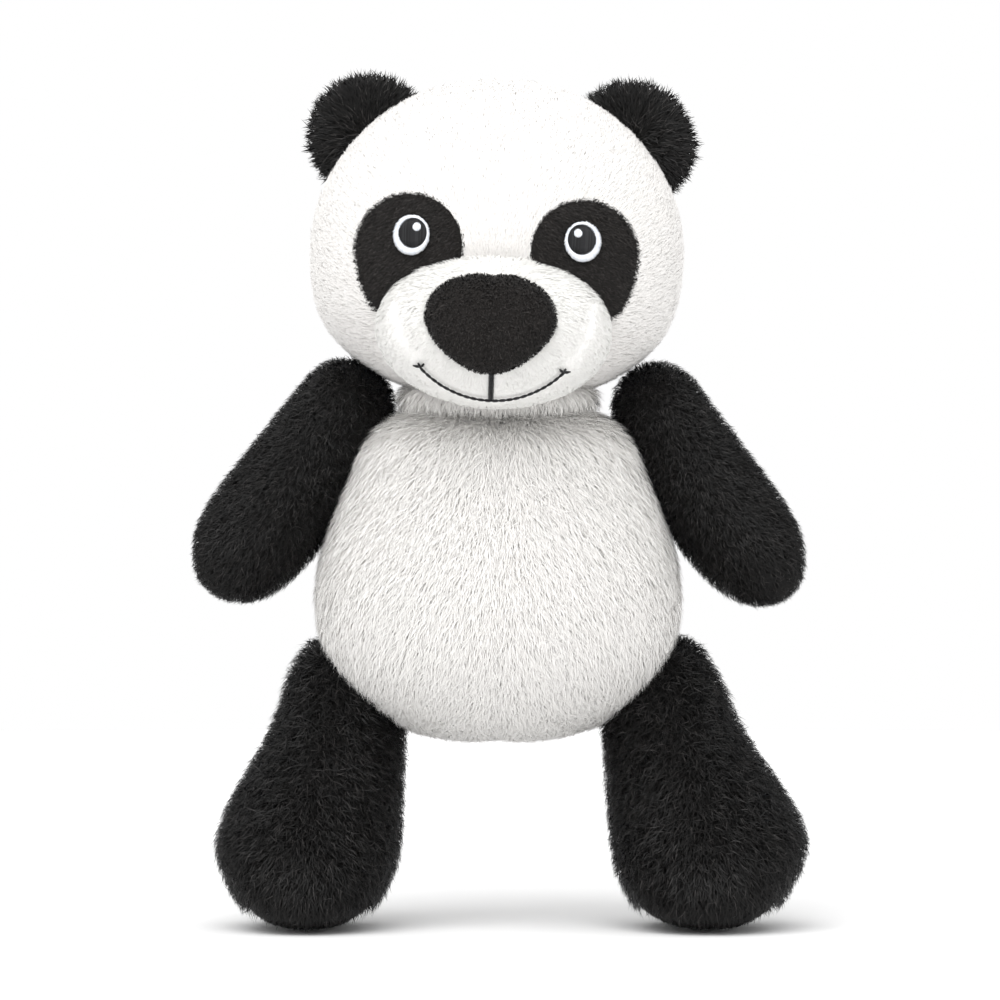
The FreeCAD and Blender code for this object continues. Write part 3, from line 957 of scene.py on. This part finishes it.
@dataclass
class MuzzleCoat(Coat):
    """The muzzle's short pile, brushed away from the nose."""

    muzzle: Muzzle | None = None

    def lay(self, roots: np.ndarray, normals: np.ndarray) -> np.ndarray:
        """The way that the pile is brushed: outwards from the nose and down."""
        away = roots - np.array(self.muzzle.tip)
        return unit(away * (1.0, 0.3, 1.0)) + (0.0, 0.0, -0.45)

    def trim(self, roots: np.ndarray, normals: np.ndarray) -> np.ndarray:
        """Shorter towards the mouth's stitches."""
        muzzle = self.muzzle
        x, z = muzzle.on_face(0.0, muzzle.smile_centre)
        ring = np.hypot(roots[:, 0] - x, roots[:, 2] - z) - muzzle.smile_radius
        below = (roots[:, 2] < z) & (roots[:, 1] < muzzle.tip.y + 22 * MM)
        under = roots[:, 2] < muzzle.tip.z - muzzle.nose_drop + muzzle.trim_width
        near = np.exp(-(ring / muzzle.trim_width) ** 2) * below
        on_bar = below & under & (ring < muzzle.trim_width)
        bar = np.exp(-((roots[:, 0] - x) / muzzle.trim_width) ** 2) * on_bar
        return 1 - 0.8 * np.maximum(near, bar)


@dataclass
class Eye:
    """One eye: a patch of short charcoal pile with the embroidery on it."""

    side: Side
    lean: float
    middle: float
    patch_x: float = 26.3 * MM
    patch_z: float = 204.7 * MM
    patch_radius: float = 16.5 * MM
    droop: float = 0.30
    droop_way: float = 70.0
    droop_spread: float = 32.0
    patch_rise: float = 1.5 * MM
    patch_pile: Pile = Pile(1.7 * MM, 0.24 * MM, 5.0, lift=0.5, tuft=1.2 * MM, gather=0.35, frizz=0.3)
    eye_x: float = 24.5 * MM
    eye_z: float = 208.2 * MM
    ring: tuple[float, float] = (5.5 * MM, 6.0 * MM)
    pupil: tuple[float, float] = (4.25 * MM, 4.5 * MM)
    pupil_shift: tuple[float, float] = (-0.7 * MM, 0.6 * MM)
    glint: tuple[float, float] = (1.15 * MM, 1.3 * MM)
    glint_shift: tuple[float, float] = (-2.0 * MM, 2.3 * MM)
    eye_rise: float = 3.0 * MM

    def place(self, x: float, z: float) -> tuple[float, float]:
        """Turn a place on the upright face with the head's lean."""
        return leaned(x, z, self.middle, self.lean)

    def patch_reach(self, angle: np.ndarray) -> np.ndarray:
        """How far the patch reaches: round, drawn out to a drooping end.

        Args:
            angle: Directions from the patch's middle, 0 outwards and a quarter turn upwards.

        Returns:
            The distance of the edge in each direction.
        """
        off = (angle + math.radians(self.droop_way) + math.pi) % math.tau - math.pi
        return self.patch_radius * (1 + self.droop * np.exp(-(off / math.radians(self.droop_spread)) ** 2))

    def patch_share(self, points: np.ndarray) -> np.ndarray:
        """How far out each point lies on the patch: 1 on its edge."""
        x, z = self.place(self.side.value * self.patch_x, self.patch_z)
        lean = math.radians(self.lean)
        dx, dz = points[:, 0] - x, points[:, 2] - z
        out = (dx * math.cos(lean) - dz * math.sin(lean)) * self.side.value
        rise = dx * math.sin(lean) + dz * math.cos(lean)
        share = np.hypot(out, rise) / self.patch_reach(np.arctan2(rise, out))
        return np.where(points[:, 1] < 0.0, share, 9.0)

    def build(self, cover: Cover) -> None:
        """Build the patch and the eye.

        Args:
            cover: The head's cover.
        """
        word = self.side.word
        patch = self.build_patch(cover)
        coat = PatchCoat(f"{word}_eye_patch_pile", Cover(patch), self.patch_pile, VELBOA_FIBRE, Slot.VELBOA,
                         "head", 41 + int(self.side.value), self)
        coat.grow()
        self.embroider(cover)

    def build_patch(self, cover: Cover) -> bpy.types.Object:
        """The patch's own cloth, let into the face.

        Args:
            cover: The head's cover.

        Returns:
            The patch.
        """
        word = self.side.word
        form = bmesh.new()
        rings, segments = 12, 72
        reach = self.patch_reach(np.arange(segments) * math.tau / segments)
        rows = []
        for ring in range(rings + 1):
            share = ring / rings * 1.03
            row = []
            for segment in range(segments):
                angle = math.tau * segment / segments
                out = self.patch_x + share * reach[segment] * math.cos(angle)
                x, z = self.side.value * out, self.patch_z + share * reach[segment] * math.sin(angle)
                rise = self.patch_rise * (1 - share ** 10) - 0.3 * MM
                row.append(form.verts.new(cover.front(*self.place(x, z), rise)))
            rows.append(row)
        bridge(form, rows)
        bmesh.ops.remove_doubles(form, verts=form.verts, dist=0.05 * MM)
        form.normal_update()
        for face in form.faces:
            if face.normal.y > 0:
                face.normal_flip()
        piece = to_object(form, f"{word}_eye_patch_cloth")
        clothe(piece, VELBOA_BACKING)
        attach(piece, "head")
        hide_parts(f"{word}_eye_patch")
        return piece

    def embroider(self, cover: Cover) -> None:
        """Stitch the white ring, the pupil and the glint.

        Args:
            cover: The head's cover.
        """
        word, sign = self.side.word, self.side.value
        middle = (sign * self.eye_x, self.eye_z)
        rng = np.random.default_rng(51 + int(sign))

        def spot(x: float, z: float, rise: float) -> Vector:
            """A point of the embroidery on the leaning face."""
            return cover.front(*self.place(x, z), rise)

        facing = (spot(*middle, 1.0 * MM) - spot(*middle, 0.0)).normalized()
        pupil_middle = (middle[0] + sign * self.pupil_shift[0], middle[1] + self.pupil_shift[1])
        paths = []
        radial = 92
        for index in range(radial):
            angle = math.tau * index / radial
            inner = (pupil_middle[0] + self.pupil[0] * 0.96 * math.cos(angle),
                     pupil_middle[1] + self.pupil[1] * 0.96 * math.sin(angle))
            edge = 1 + float(rng.normal(0, 0.012))
            outer = (middle[0] + self.ring[0] * edge * math.cos(angle + 0.06),
                     middle[1] + self.ring[1] * edge * math.sin(angle + 0.06))
            steps = []
            for share in (0.0, 0.3, 0.65, 1.0):
                crown = 0.5 * MM * math.sin(math.pi * min(share + 0.15, 1.0))
                steps.append(spot(inner[0] + (outer[0] - inner[0]) * share,
                                  inner[1] + (outer[1] - inner[1]) * share, self.eye_rise - 0.4 * MM + crown))
            paths.append(steps)
        ring = Stitch(0.46 * MM, 0.9 * MM, WHITE_THREAD, Slot.WHITE_THREAD, "head")
        ring.make(f"{word}_eye_ring", paths, [facing] * len(paths), 61, (f"{word}_eye_white",))
        self.fill(spot, pupil_middle, self.pupil, self.eye_rise + 0.1 * MM, GREY_THREAD, Slot.GREY_THREAD,
                  facing, f"{word}_pupil", (f"{word}_eye_pupil",))
        glint_middle = (middle[0] + sign * self.glint_shift[0], middle[1] + self.glint_shift[1])
        self.fill(spot, glint_middle, self.glint, self.eye_rise + 0.55 * MM, WHITE_THREAD, Slot.WHITE_THREAD,
                  facing, f"{word}_glint", (f"{word}_eye_highlight",))

    def fill(self, spot: Callable[[float, float, float], Vector], middle: tuple[float, float],
             semi: tuple[float, float], rise: float, fibre: Fibre, slot: Slot, facing: Vector, name: str,
             replaces: tuple[str, ...]) -> None:
        """Fill an oval with satin threads, upright and side by side.

        Args:
            spot: Puts a place of the upright face on the leaning one.
            middle: The oval's middle.
            semi: Its half width and half height.
            rise: How far the threads stand off the skin.
            fibre: The threads' finish.
            slot: The material slot.
            facing: The way that the threads face.
            name: Name of the piece.
            replaces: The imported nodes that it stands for.
        """
        gap = 0.34 * MM
        count = max(4, round(2 * semi[0] / gap))
        paths = []
        for index in range(count):
            across = -semi[0] + semi[0] * 2 * (index + 0.5) / count
            half = semi[1] * math.sqrt(max(0.0, 1 - (across / semi[0]) ** 2)) + 0.1 * MM
            steps = []
            for share in (-1.0, -0.5, 0.0, 0.5, 1.0):
                dome = 0.5 * MM * (1 - share ** 2) * (1 - (across / semi[0]) ** 2)
                steps.append(spot(middle[0] + across, middle[1] + half * share, rise + dome))
            paths.append(steps)
        thread = Stitch(gap * 1.35, 0.6 * MM, fibre, slot, "head")
        thread.make(name, paths, [facing] * len(paths), 62, replaces)


@dataclass
class PatchCoat(Coat):
    """The short pile of an eye patch."""

    eye: Eye | None = None

    def lay(self, roots: np.ndarray, normals: np.ndarray) -> np.ndarray:
        """The way that the pile is brushed: to the patch's drooping end."""
        angle = math.radians(self.eye.droop_way / 2)
        return np.tile((self.eye.side.value * math.cos(angle), 0.0, -math.sin(angle)), (len(roots), 1))


@dataclass
class HeadCoat(Coat):
    """The head's short pile, which leaves the eye patches and the muzzle free."""

    eyes: tuple[Eye, ...] = ()
    muzzle: Cover | None = None

    def lay(self, roots: np.ndarray, normals: np.ndarray) -> np.ndarray:
        """The way that the pile is brushed: away from the muzzle."""
        return unit(roots - self.muzzle.points.mean(0)) * (1.0, 0.6, 1.0)

    def bare(self, tips: np.ndarray) -> np.ndarray:
        """Tips over an eye patch or under the muzzle."""
        covered = self.muzzle.inside(tips, 1.2 * MM)
        for eye in self.eyes:
            covered |= eye.patch_share(tips) < 0.985
        return covered


@dataclass
class Head:
    """The head with its face; its ears are built by Ear."""

    lean: float = 2.3
    pile: Pile = Pile(3.2 * MM, 0.24 * MM, 3.4, lift=0.34, vary=0.2, gather=0.12, frizz=0.25)
    widen: float = 1.025

    def build(self) -> Cover:
        """Build the head's cover, face and pile.

        Returns:
            The head's cover.
        """
        low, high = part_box("head_stuffing")
        middle = (low[2] + high[2]) / 2 + 4 * MM
        nodes = ["face_panel", "head_back_left_panel", "head_back_right_panel", "head_stuffing"]
        piece = CoverMaker(self.pile.length * 0.4).make("head_cover", nodes, WHITE_BACKING)
        set_points(piece.data, get_points(piece.data) * (self.widen, 1.0, 1.0))
        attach(piece, "head")
        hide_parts(*nodes)
        cover = Cover(piece)
        muzzle = Muzzle(self.lean, middle).build()
        eyes = tuple(Eye(side, self.lean, middle) for side in Side)
        for eye in eyes:
            eye.build(cover)
        HeadCoat("head_pile", cover, self.pile, WHITE_FIBRE, Slot.WHITE, "head", 11, eyes, muzzle).grow()
        return cover


@dataclass
class EarCoat(Coat):
    """An ear's pile, which stands out from the ear's middle."""

    def lay(self, roots: np.ndarray, normals: np.ndarray) -> np.ndarray:
        """The way that the pile is brushed: outwards from the ear's middle."""
        low, high = self.cover.points.min(0), self.cover.points.max(0)
        return unit(roots - (low + high) / 2)


@dataclass
class Ear:
    """One round ear of long black pile."""

    side: Side
    radius: float = 19.0 * MM
    thick: float = 6.5 * MM
    inset: float = 3.8 * MM
    rise: float = 1.5 * MM
    drop: float = 0.6 * MM
    pile: Pile = Pile(4.0 * MM, 0.36 * MM, 3.2, lift=0.5, vary=0.35, tuft=2.6 * MM, gather=0.75, frizz=0.3)

    def build(self) -> None:
        """Build the ear."""
        word = self.side.word
        nodes = [f"{word}_ear_front_panel", f"{word}_ear_back_panel"]
        maker = CoverMaker(self.pile.length * 0.35, voxel=2.4 * MM, swell=1.0 * MM, smooth=2)
        base = np.array(joint_place(f"{word}_ear_fold"))
        middle = base + (-self.side.value * self.inset, 0.0, self.side.value * self.rise - self.drop)
        disc = oval_rows(middle, (self.radius, self.thick, self.radius))
        form = taut_form(f"{word}_ear_cover", nodes, disc)
        piece = maker.make(f"{word}_ear_cover", nodes, BLACK_BACKING, form)
        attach(piece, f"{word}_ear")
        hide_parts(*nodes)
        EarCoat(f"{word}_ear_pile", Cover(piece), self.pile, BLACK_FIBRE, Slot.BLACK, f"{word}_ear",
                71 + int(self.side.value)).grow()


# ---------------------------------------------------------------- body


@dataclass
class BodyCoat(Coat):
    """The body's long pile, parted down the belly."""

    def lay(self, roots: np.ndarray, normals: np.ndarray) -> np.ndarray:
        """The way that the pile is brushed: down, and outwards from the parting."""
        front = np.clip(-normals[:, 1] * 2, 0, 1)
        out = np.tanh(roots[:, 0] / (14 * MM)) * (0.15 + 0.3 * front)
        return np.stack([out, np.zeros(len(roots)), np.full(len(roots), -1.0)], 1)

    def trim(self, roots: np.ndarray, normals: np.ndarray) -> np.ndarray:
        """Shorter along the parting."""
        near = np.exp(-(roots[:, 0] / (1.6 * MM)) ** 2) * (normals[:, 1] < 0.2)
        return 1 - 0.2 * near


@dataclass
class Body:
    """The pear-shaped body, seamed down the front and the back."""

    pile: Pile = Pile(6.0 * MM, 0.26 * MM, 3.6, lift=0.34, vary=0.22, tuft=3.6 * MM, gather=0.28, frizz=0.28)
    chest: float = 138 * MM
    stretch: float = 1.45
    shoulders: float = 0.04
    shoulder_level: float = 154 * MM
    shoulder_spread: float = 16 * MM
    seam_depth: float = 0.5 * MM
    seam_width: float = 3.0 * MM

    def build(self) -> Cover:
        """Build the body's cover and pile and the closing stitches.

        Returns:
            The body's cover.
        """
        nodes = [f"{part}_{side.word}_panel" for part in ("belly", "back") for side in Side]
        form = turned_form("body_cover", nodes)
        piece = CoverMaker(self.pile.length * 0.42).make("body_cover", nodes, WHITE_BACKING, form)
        points, normals = get_points(piece.data), get_normals(piece.data)
        dip = np.exp(-(points[:, 0] / self.seam_width) ** 2) * self.seam_depth
        points -= normals * dip[:, None]
        points[:, 2] += np.maximum(0.0, points[:, 2] - self.chest) * (self.stretch - 1)
        broad = np.exp(-((points[:, 2] - self.shoulder_level) / self.shoulder_spread) ** 2) * self.shoulders
        points[:, 0] *= 1 + broad
        set_points(piece.data, points)
        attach(piece, "torso")
        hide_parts(*nodes, "body_stuffing")
        cover = Cover(piece)
        BodyCoat("body_pile", cover, self.pile, LONG_WHITE_FIBRE, Slot.LONG_WHITE, "torso", 81).grow()
        self.close(cover)
        return cover

    def close(self, cover: Cover) -> None:
        """Sew the opening in the back shut.

        Args:
            cover: The body's cover.
        """
        low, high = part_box("back_closing_stitches")
        rows, paths = 7, []
        for row in range(rows):
            z = low[2] + (high[2] - low[2]) * row / (rows - 1)
            steps = []
            for share in (-1.0, -0.4, 0.4, 1.0):
                x = share * (high[0] - low[0]) / 2
                hit = cover.tree.ray_cast(Vector((x, 1.0, z + x * 0.2)), FORWARD)
                steps.append(hit[0] + Vector((0, (2.4 - 1.6 * abs(share) ** 3) * MM, 0)))
            paths.append(steps)
        thread = Stitch(0.8 * MM, 0.8 * MM, SEWING_THREAD, Slot.CLOSING, "torso")
        thread.make("back_ladder_stitches", paths, [BACKWARD] * rows, 82, ("back_closing_stitches",))


@dataclass
class Neck:
    """The soft roll between body and head."""

    pile: Pile = Pile(5.0 * MM, 0.26 * MM, 3.0, lift=0.34, gather=0.25, frizz=0.28)
    half_width: float = 40 * MM
    half_depth: float = 35.5 * MM
    half_height: float = 15 * MM

    def build(self) -> None:
        """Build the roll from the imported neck's own form, spread under the chin."""
        low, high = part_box("neck_stuffing")
        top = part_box("body_stuffing")[1][2]
        centre = np.array(((low[0] + high[0]) / 2, (low[1] + high[1]) / 2, top + 4.5 * MM))
        piece = taut_form("neck_cover", ["neck_stuffing"])
        points = unit(get_points(piece.data) - (np.array(low) + np.array(high)) / 2)
        set_points(piece.data, centre + points * (self.half_width, self.half_depth, self.half_height))
        knit(piece, 3.5 * MM, 4)
        clothe(piece, WHITE_BACKING)
        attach(piece, "neck")
        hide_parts("neck_stuffing")
        Coat("neck_pile", Cover(piece), self.pile, LONG_WHITE_FIBRE, Slot.WHITE, "neck", 91).grow()


# ---------------------------------------------------------------- limbs


@dataclass
class LimbCoat(Coat):
    """A limb's pile, brushed from its root to its end."""

    way: tuple[float, float, float] = (0.0, 0.0, -1.0)

    def lay(self, roots: np.ndarray, normals: np.ndarray) -> np.ndarray:
        """The way that the pile is brushed: along the limb, and a little outwards."""
        middle = (self.cover.points.min(0) + self.cover.points.max(0)) / 2
        away = unit((roots - middle) * (1.0, 0.0, 0.3))
        return np.array(self.way) + away * 0.2


@dataclass
class LegCoat(LimbCoat):
    """A leg's pile, short under the sole."""

    def trim(self, roots: np.ndarray, normals: np.ndarray) -> np.ndarray:
        """Flattened where the sole rests."""
        return np.where(normals[:, 2] < -0.6, 0.3, 1.0)


@dataclass
class Arm:
    """One arm, hanging out to its side."""

    side: Side
    out: float = 37.5
    shoulder: float = 15.5 * MM
    shoulder_shift: float = 1.5 * MM
    shoulder_rise: float = 1.2 * MM
    girth: float = 1.0
    reach: float = 1.0
    pile: Pile = Pile(3.4 * MM, 0.26 * MM, 4.0, lift=0.65, tuft=1.7 * MM, gather=0.6, frizz=0.5)

    def build(self) -> None:
        """Build the arm."""
        word = self.side.word
        nodes = [f"{word}_arm_front_panel", f"{word}_arm_back_panel", f"{word}_arm_stuffing"]
        pivot = np.array(joint_place(f"{word}_arm_lift"))
        shoulder = oval_rows(pivot + (self.side.value * self.shoulder_shift, 0, self.shoulder_rise),
                             (self.shoulder, self.shoulder * 0.9, self.shoulder))
        form = taut_form(f"{word}_arm_cover", nodes, shoulder)
        maker = CoverMaker(self.pile.length * 0.35, voxel=4.0 * MM)
        piece = maker.make(form.name, nodes, BLACK_BACKING, form)
        angle = math.radians(self.out)
        way = (self.side.value * math.sin(angle), 0.0, -math.cos(angle))
        offset = get_points(piece.data) - pivot
        along = np.maximum(0.0, offset @ np.array(way))[:, None] * np.array(way)
        set_points(piece.data, pivot + along * self.reach + (offset - along) * self.girth)
        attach(piece, f"{word}_arm")
        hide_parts(*nodes)
        LimbCoat(f"{word}_arm_pile", Cover(piece), self.pile, BLACK_FIBRE, Slot.BLACK, f"{word}_arm",
                 101 + int(self.side.value), way).grow()


@dataclass
class Leg:
    """One leg with its broad flat foot."""

    side: Side
    pile: Pile = Pile(4.8 * MM, 0.29 * MM, 3.2, lift=0.6, vary=0.4, tuft=2.6 * MM, gather=0.7, frizz=0.5)
    shift: float = 0.0
    hip: tuple[float, float, float] = (16.5 * MM, 14.0 * MM, 11.0 * MM)
    hip_shift: tuple[float, float] = (2.5 * MM, 6.0 * MM)
    round_rise: float = 9.0 * MM
    round_height: float = 34.0 * MM
    waist: float = 2.6 * MM
    waist_level: float = 58.0 * MM

    def build(self) -> None:
        """Build the leg."""
        word = self.side.word
        nodes = [f"{word}_leg_inner_panel", f"{word}_leg_outer_panel", f"{word}_sole_panel",
                 f"{word}_leg_stuffing"]
        hip = np.array(joint_place(f"{word}_leg_swing"))
        hip += (self.side.value * self.hip_shift[0], 0.0, self.hip_shift[1])
        form = taut_form(f"{word}_leg_cover", nodes, oval_rows(hip, self.hip))
        maker = CoverMaker(self.pile.length * 0.35)
        piece = maker.make(form.name, nodes, BLACK_BACKING, form)
        set_points(piece.data, self.shape_foot(get_points(piece.data)))
        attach(piece, f"{word}_leg")
        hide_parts(*nodes)
        way = (self.side.value * 0.12, 0.0, -1.0)
        LegCoat(f"{word}_leg_pile", Cover(piece), self.pile, BLACK_FIBRE, Slot.BLACK, f"{word}_leg",
                111 + int(self.side.value), way).grow()

    def shape_foot(self, points: np.ndarray) -> np.ndarray:
        """Round the sole off towards its sides and draw the leg in above the foot.

        Args:
            points: The skin's points.

        Returns:
            The points in their new places.
        """
        foot = points[points[:, 2] < self.round_height]
        low, high = foot[:, 0].min(), foot[:, 0].max()
        off = np.abs(points[:, 0] - (low + high) / 2) / ((high - low) / 2)
        fade = np.clip(1 - points[:, 2] / self.round_height, 0, 1)
        outer = np.clip((points[:, 0] - points[:, 0].mean()) * self.side.value / (10 * MM), 0, 1)
        drawn = np.exp(-((points[:, 2] - self.waist_level) / (14 * MM)) ** 2) * outer * self.waist
        shifted = self.shift * np.clip(points[:, 2] / self.waist_level, 0, 1)
        points[:, 0] += self.side.value * (shifted - drawn)
        points[:, 2] += self.round_rise * np.clip((off - 0.15) / 0.75, 0, 1) ** 2 * fade
        return points


def dress_fillings() -> None:
    """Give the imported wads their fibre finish."""
    for side in Side:
        for part in ("shoulder", "hip"):
            wad = frame["nodes"][f"{side.word}_{part}_wad"]
            wad.data.materials.clear()
            wad.data.materials.append(FILLING.material())


# ---------------------------------------------------------------- studio


@dataclass
class Studio:
    """The pale floor, the soft lights and the camera."""

    floor_radius: float = 1.3
    distance: float = 1.5
    frame_share: float = 0.8583
    key: float = 2.15
    fill: float = 0.5
    sky: float = 0.82
    camera_x: float = 0.6 * MM
    camera_height: float = 130.3 * MM
    sensor: float = 36.0

    def build(self) -> None:
        """Build the studio."""
        self.lay_floor()
        self.hang_lights()
        self.set_camera()

    def lay_floor(self) -> None:
        """Lay the floor and set the surroundings."""
        mesh = bpy.data.meshes.new("floor")
        corners = 96
        rim = [(self.floor_radius * math.cos(math.tau * corner / corners),
                self.floor_radius * math.sin(math.tau * corner / corners), 0.0) for corner in range(corners)]
        mesh.from_pydata(rim, [], [tuple(range(corners))])
        floor = new_object("floor", mesh)
        mesh.materials.append(plain_shader("floor_paper", (0.93, 0.93, 0.93), 0.9, 0.0))
        world = bpy.data.worlds.new("studio")
        world.use_nodes = True
        nodes, links = world.node_tree.nodes, world.node_tree.links
        path, mix = nodes.new("ShaderNodeLightPath"), nodes.new("ShaderNodeMix")
        mix.inputs["A"].default_value = self.sky
        mix.inputs["B"].default_value = 1.0
        links.new(path.outputs["Is Camera Ray"], mix.inputs["Factor"])
        background = nodes["Background"]
        background.inputs["Color"].default_value = (1.0, 1.0, 1.0, 1.0)
        links.new(mix.outputs["Result"], background.inputs["Strength"])
        bpy.context.scene.world = world

    def hang_lights(self) -> None:
        """Hang the soft lights."""
        self.hang("key", (-0.3, -0.85, 1.0), 60.0, self.key)
        self.hang("fill", (0.9, -0.7, 0.5), 70.0, self.fill)

    def hang(self, name: str, place: tuple[float, float, float], spread: float, power: float) -> None:
        """Hang one broad soft light that shines from a direction.

        Args:
            name: The light's name.
            place: The direction that it shines from.
            spread: How broad it is, in degrees.
            power: Its power.
        """
        lamp = bpy.data.lights.new(name, "SUN")
        lamp.angle = math.radians(spread)
        lamp.energy = power
        light = bpy.data.objects.new(name, lamp)
        light.location = place
        light.rotation_euler = (-Vector(place)).to_track_quat("-Z", "Y").to_euler()
        bpy.context.scene.collection.objects.link(light)

    def set_camera(self) -> None:
        """Set the camera level with the toy's middle, straight in front."""
        scene = bpy.context.scene
        low, high = CAD_BOX
        height = high[2] - low[2]
        span = height / self.frame_share
        lens = bpy.data.cameras.new("camera")
        lens.sensor_width = self.sensor
        lens.lens = self.sensor * self.distance / span
        lens.clip_end = 20.0
        camera = bpy.data.objects.new("camera", lens)
        middle = (low[1] + high[1]) / 2
        camera.location = (self.camera_x, middle - self.distance, self.camera_height)
        camera.rotation_euler = (math.pi / 2, 0.0, 0.0)
        scene.collection.objects.link(camera)
        scene.camera = camera
        scene.view_settings.view_transform = "Standard"


def main() -> None:
    """Build the toy, piece by piece, and the studio round it."""
    logging.basicConfig(level=logging.INFO, format="%(name)s %(relativeCreated)d ms: %(message)s")
    Head().build()
    for side in Side:
        Ear(side).build()
    LOG.info("head done")
    Body().build()
    Neck().build()
    LOG.info("body done")
    Arm(Side.LEFT, shoulder=15.0 * MM, shoulder_shift=4.0 * MM, girth=0.95).build()
    Arm(Side.RIGHT, reach=0.975).build()
    Leg(Side.LEFT, shift=2.2 * MM).build()
    Leg(Side.RIGHT).build()
    LOG.info("limbs done")
    dress_fillings()
    Studio().build()


if __name__ == "__main__":
    main()
